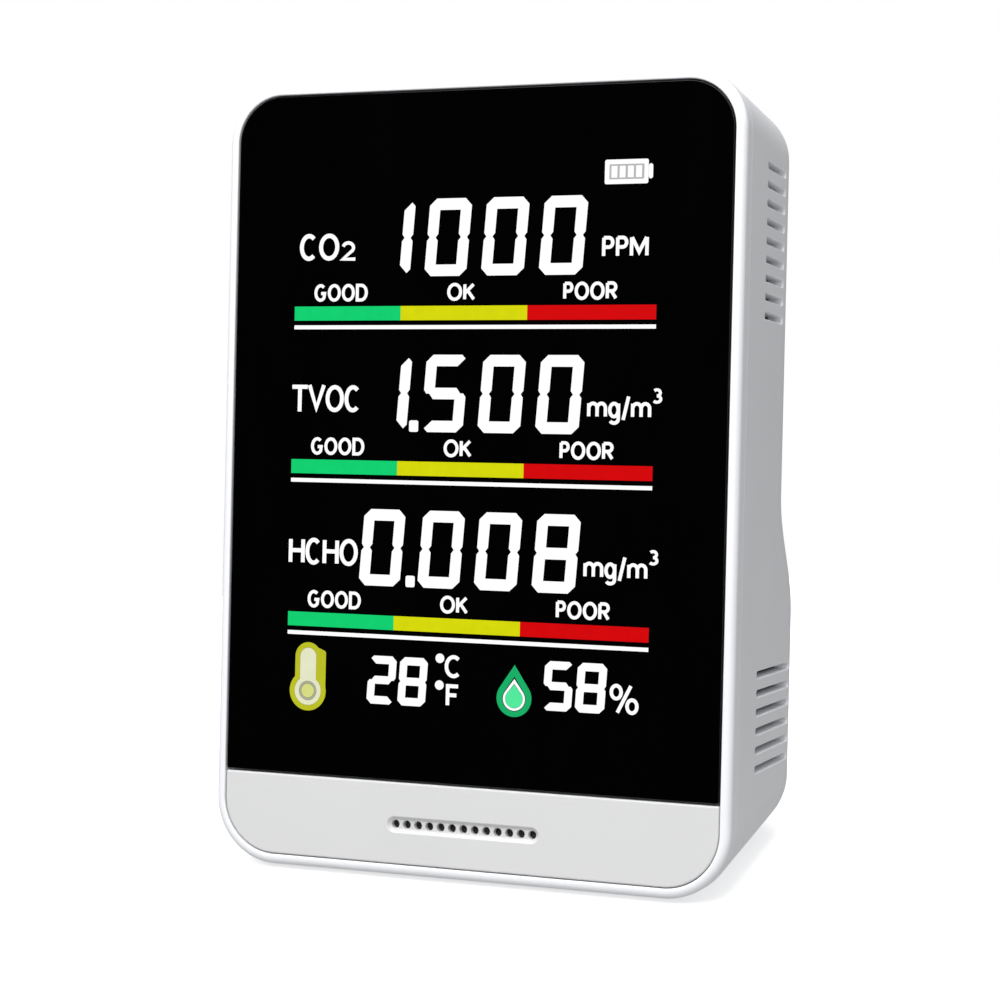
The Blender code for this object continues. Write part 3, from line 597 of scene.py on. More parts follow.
def build_window():
    radii = (MEETING_CORNER, FACE_CORNER)
    glass = face_plate("window_glass", GLASS_BOTTOM, HEIGHT - FACE_INSET, *radii, GLASS_BACK, GLASS_POLISH)
    show(smooth(glass), "black_glass", "display_window")


def build_grille_strip():
    """The strip, its shallow groove with sloping walls, and the row of sound holes in the groove's floor."""
    inset = FACE_INSET - STRIP_OVERLAP
    radii = (LOWER_CORNER_RADIUS - inset, MEETING_CORNER)
    panel = face_plate("grille_strip", BASE + inset, STRIP_TOP, *radii, STRIP_BACK, STRIP_POLISH, inset)
    span = GRILLE_PITCH * (GRILLE_HOLES - 1) / 2.0
    rings = []
    for widening, depth in GROOVE_SECTION:
        half_height = GROOVE_HALF_HEIGHT + widening
        outline = stadium(0.0, GRILLE_HEIGHT, span + half_height, half_height, 16)
        rings.append([(x, FACE_FRONT + depth, z) for x, z in outline])
    cut(panel, loft("groove", rings))
    floor = FACE_FRONT + GROOVE_DEPTH
    length = STRIP_BACK + 1.0 - floor
    mouth = GRILLE_HOLE + HOLE_FLARE
    profile = [(0.0, -0.4), (mouth, -0.4), (mouth, 0.0), (GRILLE_HOLE, HOLE_FLARE)]
    profile += [(GRILLE_HOLE, length), (0.0, length)]
    for k in range(GRILLE_HOLES):
        place = at(k * GRILLE_PITCH - span, floor, GRILLE_HEIGHT, TURNED_BACK)
        cut(panel, turned(f"sound_hole_{k}", profile, 32, place))
    show(smooth(panel), "grey_plastic", "grille_panel")


# ---- Rear cover ----
def slot_cutter(name, sign, height, front, rear):
    """A vent slot through one side wall, with a rounded mouth that follows the wall's draft."""
    middle = (front + rear) / 2.0
    half_length = (rear - front) / 2.0
    rings = []
    for widening, offset in SLOT_SECTION:
        outline = stadium(middle, height, half_length + widening, SLOT_HEIGHT / 2.0 + widening, 8)
        rings.append([(sign * (side_at(y) + offset), y, z) for y, z in outline])
    return loft(name, rings)


def mouth_cutter(name, outline_at, flare):
    """An opening through the foot's rear wall, with a small rounded mouth."""
    section = ((flare, 1.0), (flare, 0.0), (flare * 0.3, -flare * 0.3), (0.0, -flare), (0.0, -5.0))
    rings = []
    for widening, offset in section:
        rings.append([(x, FOOT_DEPTH + offset, z) for x, z in outline_at(widening)])
    return loft(name, rings)


def port_outline(widening):
    half = PORT_MOUTH[0] + widening
    rise = PORT_MOUTH[1] + widening
    return round_rectangle(-half, PORT_Z - rise, half, PORT_Z + rise, 1.9 + widening, 1.9 + widening, 12)


def button_outline(widening):
    return circle(0.0, BUTTON_Z, BUTTON_RADIUS + GAP + widening, 64)


def build_back_cover():
    cover = case_solid("back_cover", 0.0, PARTING + SEAM)
    hollow = case_solid("hollow", WALL, PARTING - 1.0)
    for name, sign, (z, seat) in mirrored(CASE_SCREWS):
        cut(hollow, rod("tube_" + name, TUBE_RADIUS, sign * CASE_SCREW_X, z, seat - SEAT, seat + 25.0))
    for side, sign in SIDES:
        start = POWER_BOARD_BACK + GAP
        x = sign * POWER_SCREW_X
        cut(hollow, rod("board_post_" + side, POST_RADIUS, x, POWER_SCREW_Z, start, start + 12.0))
    cut(cover, hollow)

    for name, sign, (z, seat) in mirrored(CASE_SCREWS):
        x = sign * CASE_SCREW_X
        cut(cover, rod("recess_" + name, RECESS_RADIUS, x, z, seat, seat + 25.0, 48))
        cut(cover, rod("clearance_" + name, PILOT_RADIUS, x, z, seat - 3.0, seat + 1.0))
    for side, sign in SIDES:
        x = sign * POWER_SCREW_X
        end = POWER_BOARD_BACK + 6.0
        cut(cover, rod("board_pilot_" + side, POST_PILOT_RADIUS, x, POWER_SCREW_Z, POWER_BOARD_BACK, end))

    for lowest, count, pitch, front, rear in SLOT_GROUPS:
        for k in range(count):
            for side, sign in SIDES:
                name = f"slot_{side}_{lowest:.0f}_{k}"
                cut(cover, slot_cutter(name, sign, lowest + pitch * k, front, rear))
    cut(cover, mouth_cutter("port_mouth", port_outline, 0.25))
    cut(cover, mouth_cutter("button_mouth", button_outline, 0.2))

    level = Matrix.Rotation(math.radians(LEAN), 4, "X")
    for name, sign, (x, y) in mirrored(FOOT_PLACES):
        seat = [(0.0, PAD_RECESS), (PAD_RADIUS + GAP, PAD_RECESS), (PAD_RADIUS + GAP, -2.0), (0.0, -2.0)]
        cut(cover, turned("foot_recess_" + name, seat, 48, at(sign * x, y, bottom_at(y), level)))
    show(smooth(cover), "white_plastic", "rear_cover")


# ---- Feet, screws, button and port ----
def build_feet():
    level = Matrix.Rotation(math.radians(LEAN), 4, "X")
    for name, sign, (x, y) in mirrored(FOOT_PLACES):
        edge = 0.3
        pad = [(0.0, PAD_RECESS - GAP), (PAD_RADIUS, PAD_RECESS - GAP)]
        pad += [(PAD_RADIUS - edge + u, edge - PAD_PROUD + v) for u, v in arc(0.0, 0.0, edge, 0.0, -90.0, 5)]
        pad += [(PAD_RADIUS - 1.1, -PAD_PROUD), (PAD_RADIUS - 1.3, 0.12 - PAD_PROUD), (0.0, 0.12 - PAD_PROUD)]
        foot = turned("foot_pad_" + name, pad, 64, at(sign * x, y, bottom_at(y), level))
        show(smooth(foot), "rubber", "rubber_foot_" + name)


def screw(name, head_radius, head_height, shaft_radius, length, local):
    """A pan-head screw, head up, with a cross recess and a threaded shaft."""
    steps = [(1.0 - 0.42 * k / 6.0, 0.45 + 0.55 * math.sin(math.pi * k / 12.0)) for k in range(7)]
    dome = [(head_radius * across, head_height * up) for across, up in steps]
    profile = [(0.0, head_height)] + list(reversed(dome))
    profile += [(head_radius, 0.06), (head_radius - 0.06, 0.0), (shaft_radius, 0.0)]
    root = shaft_radius * 0.8
    for k in range(int((length - 1.2) / THREAD_PITCH)):
        top = -0.4 - k * THREAD_PITCH
        profile += [(root, top), (shaft_radius, top - THREAD_PITCH * 0.45), (root, top - THREAD_PITCH * 0.9)]
    profile += [(root, 0.6 - length), (0.0, -length)]
    item = turned(name, profile, 48, local)
    reach = head_radius * 0.55
    for turn in (0.0, 90.0):
        cross = []
        for half, depth in ((reach * 1.05, 0.4), (reach * 0.96, 0.0), (reach * 0.5, -0.72)):
            width = 0.2 if depth < 0.0 else 0.25
            cross.append([(x, y, head_height + depth) for x, y in rectangle(-half, -width, half, width)])
        spin = Matrix.Rotation(math.radians(turn), 4, "Z")
        cut(item, loft(name + "_cross", cross, False, local @ spin))
    return smooth(item)


def build_screws():
    size = (SCREW_HEAD_RADIUS, SCREW_HEAD_HEIGHT, SCREW_SHAFT, SCREW_LENGTH)
    for name, sign, (z, seat) in mirrored(CASE_SCREWS):
        local = at(sign * CASE_SCREW_X, seat + GAP, z, TURNED_BACK)
        show(screw("cover_screw_" + name, *size, local), "steel", "case_screw_" + name)


def build_button():
    """The button's dished cap, the flange that holds it in, and the stem that meets the switch."""
    flange = FOOT_DEPTH - WALL - GAP
    face = FOOT_DEPTH + BUTTON_PROUD - flange
    stem = FOOT_DEPTH - WALL - 2.2 + GAP - flange
    edge = 0.4
    dish_depth = 0.35
    dish = [(BUTTON_RADIUS - edge - 0.1) * k / 8.0 for k in range(9)]
    profile = [(radius, face - dish_depth * (1.0 - (radius / dish[-1]) ** 2)) for radius in dish]
    profile += [(BUTTON_RADIUS - edge + u, face - edge + v) for u, v in arc(0.0, 0.0, edge, 90.0, 0.0, 6)]
    profile += [(BUTTON_RADIUS, 0.0), (FLANGE_RADIUS, 0.0), (FLANGE_RADIUS, -FLANGE_THICKNESS)]
    profile += [(STEM_RADIUS, -FLANGE_THICKNESS), (STEM_RADIUS, stem), (0.0, stem)]
    item = turned("button_cap", profile, 96, at(0.0, flange, BUTTON_Z, TURNED_BACK))
    show(smooth(item), "white_plastic", "power_button", body="button")


def build_port():
    mouth = FOOT_DEPTH - 0.2
    half, rise = PORT_SHELL
    outline = round_rectangle(-half, PORT_Z - rise, half, PORT_Z + rise, rise - 0.01, rise - 0.01)
    shell = plate("port_shell", [outline], POWER_BOARD_BACK + GAP, mouth)
    rings = []
    for widening, y in ((0.12, mouth + 1.0), (0.12, mouth), (0.0, mouth - 0.18), (0.0, mouth - 6.2)):
        half = PORT_CAVITY[0] + widening
        rise = PORT_CAVITY[1] + widening
        outline = round_rectangle(-half, PORT_Z - rise, half, PORT_Z + rise, rise - 0.02, rise - 0.02, 12)
        rings.append([(x, y, z) for x, z in outline])
    cut(shell, loft("port_cavity", rings))
    show(smooth(shell), "steel", "usb_c_shell")


# ---- Lit display ----
LIT_FRONT = FACE_FRONT - 0.02
LIT_BACK = FACE_FRONT + 0.3
ROWS = ("co2", "tvoc", "formaldehyde")
ROW_PITCH = 20.35
DIGIT_WIDTH = 5.9
DIGIT_HEIGHT = 10.1
DIGIT_STROKE = 1.5
DIGIT_SLANT = 0.7
DIGIT_PITCH = 7.97
FIRST_DIGIT = -15.05
READING_BASE = 79.25
SEGMENTS = {"0": "abcdef", "1": "bc", "2": "abdeg", "5": "acdfg", "8": "abcdefg"}


def segment_outlines(width, height, stroke):
    """The seven segments of an upright figure, with mitred corners and pointed waists."""
    lap = 0.02
    chamfer = stroke * 0.62
    mitre = chamfer / 2.0
    waist = stroke * 0.3
    point = stroke * 0.27
    middle = height / 2.0
    half = stroke / 2.0
    taper = half + half * 0.8
    top = [(chamfer, height), (width - chamfer, height), (width - mitre + lap, height - mitre - lap)]
    top += [(width - stroke + lap, height - stroke), (stroke - lap, height - stroke)]
    top += [(mitre - lap, height - mitre - lap)]
    left = [(0.0, height - chamfer), (mitre + lap, height - mitre + lap), (stroke, height - stroke + lap)]
    left += [(stroke, middle + waist), (half + point, middle - lap)]
    left += [(half - point, middle - lap), (0.0, middle + waist)]
    right = [(width - x, y) for x, y in left]
    bar = [(half, middle), (taper, middle + half), (width - taper, middle + half)]
    bar += [(width - half, middle), (width - taper, middle - half), (taper, middle - half)]

    def flipped(outline):
        return [(x, height - y) for x, y in outline]

    upper = {"a": top, "b": right, "f": left, "g": bar}
    return upper | {"c": flipped(right), "d": flipped(top), "e": flipped(left)}


def lit_shape(name, outlines):
    """One flat lit solid, level with the glass, from outlines that may overlap."""
    whole = plate(name, outlines[0], LIT_FRONT, LIT_BACK)
    for outline in outlines[1:]:
        join(whole, plate(name + "_part", outline, LIT_FRONT, LIT_BACK))
    return whole


def figure(character, x, z, width, height, stroke, slant):
    """The lit segments of one figure, leaning to the right."""
    outlines = segment_outlines(width, height, stroke)
    segments = []
    for letter in SEGMENTS[character]:
        segments.append([[(x + u + slant * v / height, z + v) for u, v in outlines[letter]]])
    return lit_shape("figure", segments)


def large_figures(name, text, z, first_shift=0.0):
    """Four large figures in the row's fixed places, with a point after one of them."""
    items = []
    place = 0
    for character in text:
        x = FIRST_DIGIT + DIGIT_PITCH * place + (0.0 if place else first_shift)
        if character == ".":
            point = round_rectangle(x - 1.65, z, x - 0.35, z + 1.5, 0.25, 0.25, 4)
            items.append(lit_shape("point", [[point]]))
            continue
        items.append(figure(character, x, z, DIGIT_WIDTH, DIGIT_HEIGHT, DIGIT_STROKE, DIGIT_SLANT))
        place += 1
    show(merge(name, items), "lit_white")


def lit_plate(name, outlines, slot="lit_white", material=None):
    """A lit shape that lies level with the glass."""
    return show(plate(name, outlines, LIT_FRONT, LIT_BACK), slot, material=material)


def oval(cx, cy, rx, ry, start, end, segments=14):
    return [(cx + rx * x, cy + ry * y) for x, y in arc(0.0, 0.0, 1.0, start, end, segments)]


def ring(cx, cy, rx, ry):
    points = oval(cx, cy, rx, ry, 0.0, 360.0, 24)
    return points[:-1] + points[:1]


STEM = [(0.0, 0.0), (0.0, 1.0)]
BOWL = [(0.0, 1.0)] + oval(0.55, 0.74, 0.42, 0.26, 90.0, -90.0) + [(0.0, 0.48)]
LETTERS = {
    "C": (0.84, [oval(0.5, 0.5, 0.5, 0.5, 48.0, 312.0, 20)]),
    "D": (0.84, [[(0.0, 0.0)] + oval(0.42, 0.5, 0.58, 0.5, -90.0, 90.0) + [(0.0, 1.0), (0.0, 0.0)]]),
    "F": (0.66, [[(0.0, 0.0), (0.0, 1.0), (1.0, 1.0)], [(0.0, 0.53), (0.85, 0.53)]]),
    "G": (0.88, [oval(0.5, 0.5, 0.5, 0.5, 48.0, 318.0, 20) + [(0.93, 0.46), (0.56, 0.46)]]),
    "H": (0.82, [STEM, [(1.0, 0.0), (1.0, 1.0)], [(0.0, 0.52), (1.0, 0.52)]]),
    "K": (0.74, [STEM, [(0.95, 1.0), (0.05, 0.42)], [(0.3, 0.6), (1.0, 0.0)]]),
    "M": (0.98, [STEM, [(1.0, 0.0), (1.0, 1.0)], [(0.03, 1.0), (0.5, 0.2), (0.97, 1.0)]]),
    "O": (0.92, [ring(0.5, 0.5, 0.5, 0.5)]),
    "P": (0.66, [STEM, BOWL]),
    "R": (0.74, [STEM, BOWL, [(0.42, 0.52), (1.0, 0.0)]]),
    "T": (0.78, [[(-0.16, 1.0), (1.16, 1.0)], [(0.5, -0.08), (0.5, 1.0)]]),
    "V": (0.86, [[(-0.04, 1.08), (0.5, 0.08), (1.04, 1.08)]]),
    "m": (1.34, [STEM, oval(0.25, 0.62, 0.25, 0.38, 170.0, 0.0) + [(0.5, 0.0)],
                 oval(0.75, 0.62, 0.25, 0.38, 170.0, 0.0) + [(1.0, 0.0)]]),
    "g": (0.84, [ring(0.46, 0.5, 0.46, 0.5),
                 [(0.94, 1.0), (0.94, -0.2)] + oval(0.48, -0.2, 0.46, 0.3, -20.0, -150.0)]),
    "/": (0.56, [[(0.0, -0.25), (1.0, 1.55)]]),
    "2": (0.72, [oval(0.48, 0.7, 0.46, 0.3, 165.0, -35.0) + [(0.02, 0.0), (1.12, 0.0)]]),
    "3": (0.66, [oval(0.42, 0.755, 0.46, 0.245, 140.0, -90.0), oval(0.42, 0.255, 0.54, 0.255, 90.0, -140.0)]),
    "%": (1.1, [ring(0.19, 0.75, 0.19, 0.24), ring(0.81, 0.25, 0.19, 0.24), [(0.25, 0.0), (0.75, 1.0)]]),
}


def stroke_outlines(points, half):
    """The outline of a line of even thickness through points, or both outlines of a closed one."""
    closed = points[0] == points[-1]
    route = [Vector(point) for point in (points[:-1] if closed else points)]
    edges = ([], [])
    for here, point in enumerate(route):
        ways = []
        if closed or here > 0:
            ways.append((point - route[here - 1]).normalized())
        if closed or here < len(route) - 1:
            ways.append((route[(here + 1) % len(route)] - point).normalized())
        mean = sum(ways, Vector((0.0, 0.0))).normalized()
        across = Vector((-mean.y, mean.x)) * half / max(mean.dot(ways[0]), 0.45)
        edges[0].append(tuple(point + across))
        edges[1].append(tuple(point - across))
    if closed:
        return list(edges)
    return [edges[0] + edges[1][::-1]]


def word(text, left, right, base, height, stroke, space=0.07):
    """A word of even strokes that fills the width from left to right, with letters of this height."""
    widths = [LETTERS[character][0] for character in text]
    across = (right - left) / (sum(widths) + space * (len(text) - 1))
    up = height - stroke
    items = []
    start = left
    for character, width in zip(text, widths):
        room = width * across - stroke
        shapes = []
        for points in LETTERS[character][1]:
            route = [(start + stroke / 2.0 + x * room, base + stroke / 2.0 + y * up) for x, y in points]
            shapes.append(stroke_outlines(route, stroke / 2.0))
        items.append(lit_shape("letter", shapes))
        start += (width + space) * across
    return items


def merge(name, items):
    """One object from several that share the case's frame."""
    bm = bmesh.new()
    for item in items:
        mesh = item.data.copy()
        mesh.transform(CASE_FRAME.inverted() @ item.matrix_world)
        bm.from_mesh(mesh)
        bpy.data.meshes.remove(mesh)
        bpy.data.objects.remove(item, do_unlink=True)
    mesh = bpy.data.meshes.new(name)
    bm.to_mesh(mesh)
    bm.free()
    return put(name, mesh)


def build_readings():
    for k, (row, text, shift) in enumerate(zip(ROWS, ("1000", "1.500", "0.008"), (0.0, 0.0, -0.45))):
        large_figures("reading_" + row, text, READING_BASE - ROW_PITCH * k, shift)


def build_scales():
    """Under each reading: the scale words, the three-colour bar and a white rule."""
    limits = (-25.75, -10.3, 7.45, 24.8)
    levels = ("good", "fair", "poor")
    slots = ("lit_green", "lit_yellow", "lit_red")
    words = (("GOOD", -22.9, -15.1), ("OK", -3.75, 0.2), ("POOR", 12.3, 19.6))
    for k, row in enumerate(ROWS):
        drop = ROW_PITCH * k
        for level, slot, start, end in zip(levels, slots, limits, limits[1:]):
            lit_plate(f"bar_{level}_{row}", [rectangle(start, 73.5 - drop, end, 75.38 - drop)], slot)
        rule = rectangle(limits[0], 72.35 - drop, limits[-1], 72.87 - drop)
        lit_plate("rule_" + row, [rule])
        items = []
        for text, left, right in words:
            items += word(text, left, right, 76.0 - drop, 2.35, 0.42)
        show(merge("scale_words_" + row, items), "lit_white")


def build_labels():
    gas = word("CO", -25.2, -19.4, 81.45, 3.6, 0.58, 0.04) + word("2", -19.1, -17.0, 81.4, 2.6, 0.45)
    gas += word("PPM", 17.4, 23.6, 81.35, 2.75, 0.45)
    show(merge("labels_co2", gas), "lit_white")
    for name, text, base in (("labels_tvoc", "TVOC", 61.35), ("labels_formaldehyde", "HCHO", 41.0)):
        items = word(text, -25.85, -15.7, base, 3.6, 0.55, 0.03)
        items += word("mg/m", 15.9, 24.45, base - 0.35, 2.1, 0.45, 0.06)
        items += word("3", 24.55, 25.9, base + 1.55, 1.95, 0.38)
        show(merge(name, items), "lit_white")


def small_figures(name, text, first, z):
    items = []
    for place, character in enumerate(text):
        items.append(figure(character, first + 4.45 * place, z, 3.95, 6.35, 1.05, 0.35))
    show(merge(name, items), "lit_white")


def build_climate():
    small_figures("reading_temperature", "28", -14.0, 23.0)
    small_figures("reading_humidity", "58", 10.7, 23.5)
    units = word("C", -2.9, -0.4, 26.95, 3.0, 0.5) + word("F", -2.65, -0.7, 23.15, 3.0, 0.5)
    units += word("%", 19.8, 23.7, 23.55, 3.9, 0.46)
    for z in (29.45, 25.95):
        units.append(plate("degree", [circle(-3.6, z, 0.62, 24)], LIT_FRONT, LIT_BACK))
    show(merge("units_climate", units), "lit_white")


BULB = (-22.6, 24.2)
STEM_TOP = 28.75


def thermometer_shell():
    """The icon's outline: a round bulb under a stem whose round top steps out to a wider right side."""
    x, z = BULB
    bulb = 2.65
    stem = 1.9
    side = 2.58
    outline = arc(x, STEM_TOP, stem, 180.0, 40.0, 16) + [(x + side - 0.2, 29.62), (x + side, 29.4)]
    right = math.degrees(math.acos(side / bulb))
    left = math.degrees(math.acos(stem / bulb))
    return outline + arc(x, z, bulb, right, -180.0 - left, 48)


def thermometer_tube(inset):
    """The space inside the shell: a round bulb with a round-topped stem."""
    x, z = BULB
    stem = 1.2 - inset
    bulb = 1.95 - inset
    meet = math.degrees(math.acos(stem / bulb))
    return arc(x, STEM_TOP, stem, 0.0, 180.0, 20) + arc(x, z, bulb, 180.0 - meet, 360.0 + meet, 40)


def drop_outline(x, bottom, top, radius):
    """A round drop that rises to a point, its sides tangent to the round."""
    centre = bottom + radius
    lean = math.degrees(math.acos(radius / (top - centre)))
    round_part = arc(x, centre, radius, 90.0 + lean, 450.0 - lean, 40)
    return [(x, top)] + round_part


def build_icons():
    yellow = lit("lit_thermometer", (0.52, 0.54, 0.02))
    pale = lit("lit_thermometer_tube", (0.80, 0.82, 0.58))
    olive = lit("lit_thermometer_ring", (0.42, 0.42, 0.30))
    straw = lit("lit_thermometer_bulb", (0.70, 0.74, 0.24))
    green = lit("lit_drop", (0.01, 0.44, 0.14))
    bright = lit("lit_drop_middle", (0.09, 0.84, 0.35))
    dim = lit("lit_battery_body", (0.50, 0.50, 0.50))
    rings = [circle(*BULB, radius, 36) for radius in (1.3, 1.27, 0.95, 0.92)]
    lit_plate("icon_thermometer", [thermometer_shell(), thermometer_tube(0.0)], "lit_yellow", yellow)
    lit_plate("icon_thermometer_tube", [thermometer_tube(0.03), rings[0]], material=pale)
    lit_plate("icon_thermometer_ring", rings[1:3], material=olive)
    lit_plate("icon_thermometer_bulb", rings[3:], "lit_yellow", straw)

    sizes = ((22.4, 29.1, 2.4), (23.1, 27.6, 1.62), (23.2, 27.3, 1.52), (23.5, 26.7, 1.22),
             (23.53, 26.6, 1.18))
    drops = [drop_outline(6.85, *size) for size in sizes]
    lit_plate("icon_drop", drops[:2], "lit_green", green)
    lit_plate("icon_drop_ring", drops[2:4])
    lit_plate("icon_drop_middle", drops[4:], "lit_green", bright)

    outer = round_rectangle(17.55, 90.65, 23.35, 93.75, 0.25, 0.25, 5)
    inner = round_rectangle(18.15, 91.25, 22.8, 93.15, 0.05, 0.05, 2)
    tip = round_rectangle(23.38, 91.25, 23.95, 93.15, 0.3, 0.3, 4)
    lit_plate("icon_battery", [outer, inner, tip])
    low = [18.42 + 1.09 * k for k in range(4)]
    holes = [rectangle(x - 0.02, 91.43, x + 0.82, 92.97) for x in low]
    lit_plate("icon_battery_body", [rectangle(18.17, 91.27, 22.78, 93.13)] + holes, material=dim)
    lit_plate("icon_battery_bars", [rectangle(x, 91.45, x + 0.8, 92.95) for x in low])


# ---- Materials of the CAD pieces that carry over ----
def mixed(tree, factor, low, high):
    """Two colours or colour outputs, mixed by a factor."""
    node = add_node(tree, "Mix")
    node.data_type = "RGBA"
    tree.links.new(factor, node.inputs["Factor"])
    for socket, value in ((node.inputs["A"], low), (node.inputs["B"], high)):
        if isinstance(value, tuple):
            socket.default_value = (*value, 1.0)
        else:
            tree.links.new(value, socket)
    return node.outputs["Result"]


def cells(tree, vector, size, metric="EUCLIDEAN"):
    """Distance inside cells that are about size millimetres wide."""
    texture = add_node(tree, "TexVoronoi", Scale=1.0 / (size * MM))
    texture.distance = metric
    tree.links.new(vector, texture.inputs["Vector"])
    return texture.outputs["Distance"]


def stripes(tree, vector, pitch, axis="X"):
    """A wave from 0 to 1 across the axis, one period every pitch millimetres."""
    texture = add_node(tree, "TexWave", Scale=math.pi / 10.0 / (pitch * MM))
    texture.wave_type = "BANDS"
    texture.bands_direction = axis
    tree.links.new(vector, texture.inputs["Vector"])
    return texture.outputs["Fac"]


def board(name):
    """A circuit board: solder mask over copper tracks and fills, with gold pads and via dots."""
    material, tree, shader = shader_material(name, 0.3)
    vector = coordinates(tree)
    tracks = cells(tree, vector, 3.2, "CHEBYCHEV")
    lines = stripes(tree, vector, 0.9)
    runs = spread(tree, lines, 0.0, 1.0, 0.55, 0.65)
    mask = mixed(tree, runs, (0.008, 0.085, 0.030), (0.014, 0.150, 0.055))
    copper = spread(tree, tracks, 1.0, 0.0, 0.10, 0.12)
    tree.links.new(mixed(tree, copper, mask, (0.72, 0.52, 0.20)), shader.inputs["Base Color"])
    tree.links.new(copper, shader.inputs["Metallic"])
    bump(tree, shader, runs, 0.02)
    return material


def film(name, colour, roughness):
    """Thin plastic film with a diffuser's fine texture."""
    material = patterned(
        name, roughness, lambda tree: noise(tree, coordinates(tree), 0.25, 2.0),
        (shade(colour, 0.95), colour), relief=0.006)
    material.node_tree.nodes["Principled BSDF"].inputs["Sheen Weight"].default_value = 0.15
    return material


def clear_sheet(name):
    """Clear acrylic with the printed dots of a light guide."""
    material, tree, shader = shader_material(name, 0.06, ior=1.49)
    vector = coordinates(tree)
    dots = spread(tree, cells(tree, vector, 0.8), 1.0, 0.0, 0.18, 0.24)
    tree.links.new(mixed(tree, dots, (0.86, 0.90, 0.92), (0.96, 0.96, 0.96)), shader.inputs["Base Color"])
    tree.links.new(spread(tree, dots, 0.06, 0.5, 0.0, 1.0), shader.inputs["Roughness"])
    shader.inputs["Transmission Weight"].default_value = 0.8
    return material


def dark_cell(name):
    """The back of a liquid crystal cell: nearly black, with faint electrode lines."""
    return patterned(
        name, 0.08, lambda tree: stripes(tree, coordinates(tree), 1.6),
        ((0.006, 0.006, 0.009), (0.010, 0.010, 0.015)), (0.4, 0.6))


def ribbon(name, colour, line, pitch, roughness):
    """A flat cable with parallel conductors."""
    material, tree, shader = shader_material(name, roughness)
    lines = spread(tree, stripes(tree, coordinates(tree), pitch), 0.0, 1.0, 0.4, 0.6)
    tree.links.new(mixed(tree, lines, colour, line), shader.inputs["Base Color"])
    bump(tree, shader, lines, 0.03)
    return material


def pouch(name):
    """The silvery foil of a pouch cell, softly creased."""
    return patterned(
        name, 0.34, lambda tree: noise(tree, coordinates(tree), 5.0, 5.0, 0.6),
        ((0.40, 0.43, 0.48), (0.52, 0.55, 0.60)), gloss=(0.26, 0.42), relief=0.15, metallic=0.75)


def cellular(name, colour, size):
    """Closed-cell foam, its pores painted darker than the cell walls as shade in their pits."""
    return patterned(
        name, 0.85, lambda tree: cells(tree, coordinates(tree), size),
        (shade(colour, 0.5), shade(colour, 1.25)), (0.1, 0.6), relief=0.08)


def woven(name, colour, pitch):
    """A fine woven mesh."""
    def threads(tree):
        vector = coordinates(tree)
        node = add_node(tree, "Math")
        node.operation = "MAXIMUM"
        for socket, axis in zip(node.inputs, "XZ"):
            tree.links.new(stripes(tree, vector, pitch, axis), socket)
        return node.outputs["Value"]

    return patterned(name, 0.7, threads, (shade(colour, 0.15), colour), (0.5, 0.9), relief=0.08)


def build_inner_materials():
    """Gives each CAD piece that carries over its own finish."""
    chip = moulded("moulding_compound", (0.022, 0.022, 0.024), 0.45, 0.08, 0.01)
    nylon = moulded("connector_nylon", (0.78, 0.77, 0.72), 0.40, 0.12, 0.01)
    screw_steel = brushed("screw_steel", (0.55, 0.56, 0.57), 0.28)
    finishes = {
        "main_board co2_sensor_board power_board backlight_strip": board("solder_mask"),
        "display_tray": moulded("tray_plastic", (0.82, 0.82, 0.80), 0.5, 0.14, 0.012),
        "display_connector battery_connector power_connector board_connector": nylon,
        "humidity_sensor": moulded("sensor_case", (0.74, 0.75, 0.74), 0.35, 0.1, 0.006),
        "formaldehyde_sensor": moulded("sensor_can_plastic", (0.80, 0.80, 0.78), 0.45, 0.2, 0.012),
        "lcd_panel": dark_cell("display_cell"),
        "light_guide": clear_sheet("light_guide_acrylic"),
        "colour_film": film("colour_film_print", (0.62, 0.66, 0.60), 0.35),
        "reflector_film": film("reflector_white", (0.88, 0.88, 0.87), 0.4),
        "board_cable": ribbon("flat_cable", (0.80, 0.80, 0.76), (0.50, 0.50, 0.50), 1.0, 0.4),
        "display_ribbon": ribbon("display_flex", (0.42, 0.20, 0.04), (0.75, 0.45, 0.12), 0.8, 0.32),
        "dust_mesh": woven("dust_cloth", (0.05, 0.05, 0.05), 0.35),
        "microcontroller display_driver charging_chip sensor_header tact_switch": chip,
        "power_inductor buzzer": moulded("ferrite_black", (0.03, 0.03, 0.032), 0.55, 0.2, 0.02),
        "usb_c_tongue": moulded("connector_liner", (0.018, 0.018, 0.019), 0.35, 0.06, 0.004),
        "clock_crystal tvoc_sensor": brushed("can_nickel", (0.66, 0.66, 0.64), 0.24, (1.0, 8.0, 1.0)),
        "co2_sensor_chamber": brushed("chamber_gold", (0.83, 0.60, 0.25), 0.22, (8.0, 1.0, 1.0)),
        "battery_cell": pouch("cell_foil"),
        "window_tape battery_pad": cellular("black_foam", (0.05, 0.05, 0.05), 0.35),
        "switch_plunger": moulded("plunger_red", (0.50, 0.02, 0.02), 0.38, 0.08, 0.004),
        "battery_lead_red": moulded("red_insulation", (0.55, 0.015, 0.015), 0.42, 0.5, 0.01),
        "battery_lead_black": moulded("black_insulation", (0.02, 0.02, 0.02), 0.42, 0.5, 0.01),
    }
    plain = {name: material for names, material in finishes.items() for name in names.split()}
    for name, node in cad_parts.items():
        if node.hide_render:
            continue
        material = screw_steel if "screw" in name else plain[name]
        for holder in node.material_slots:
            holder.material = material


# ---- Floor, light and camera ----
FLOOR_RADIUS = 0.2
GLOW_BELOW = 0.66
DARK_BAND = 0.003
DOME = 0.95
VIEW_AZIMUTH = 21.32
VIEW_ELEVATION = 0.53
VIEW_ROLL = 1.32
VIEW_DISTANCE = 301.7
VIEW_RIGHT = 3.87
VIEW_UP = -8.10
LENS = 83.8


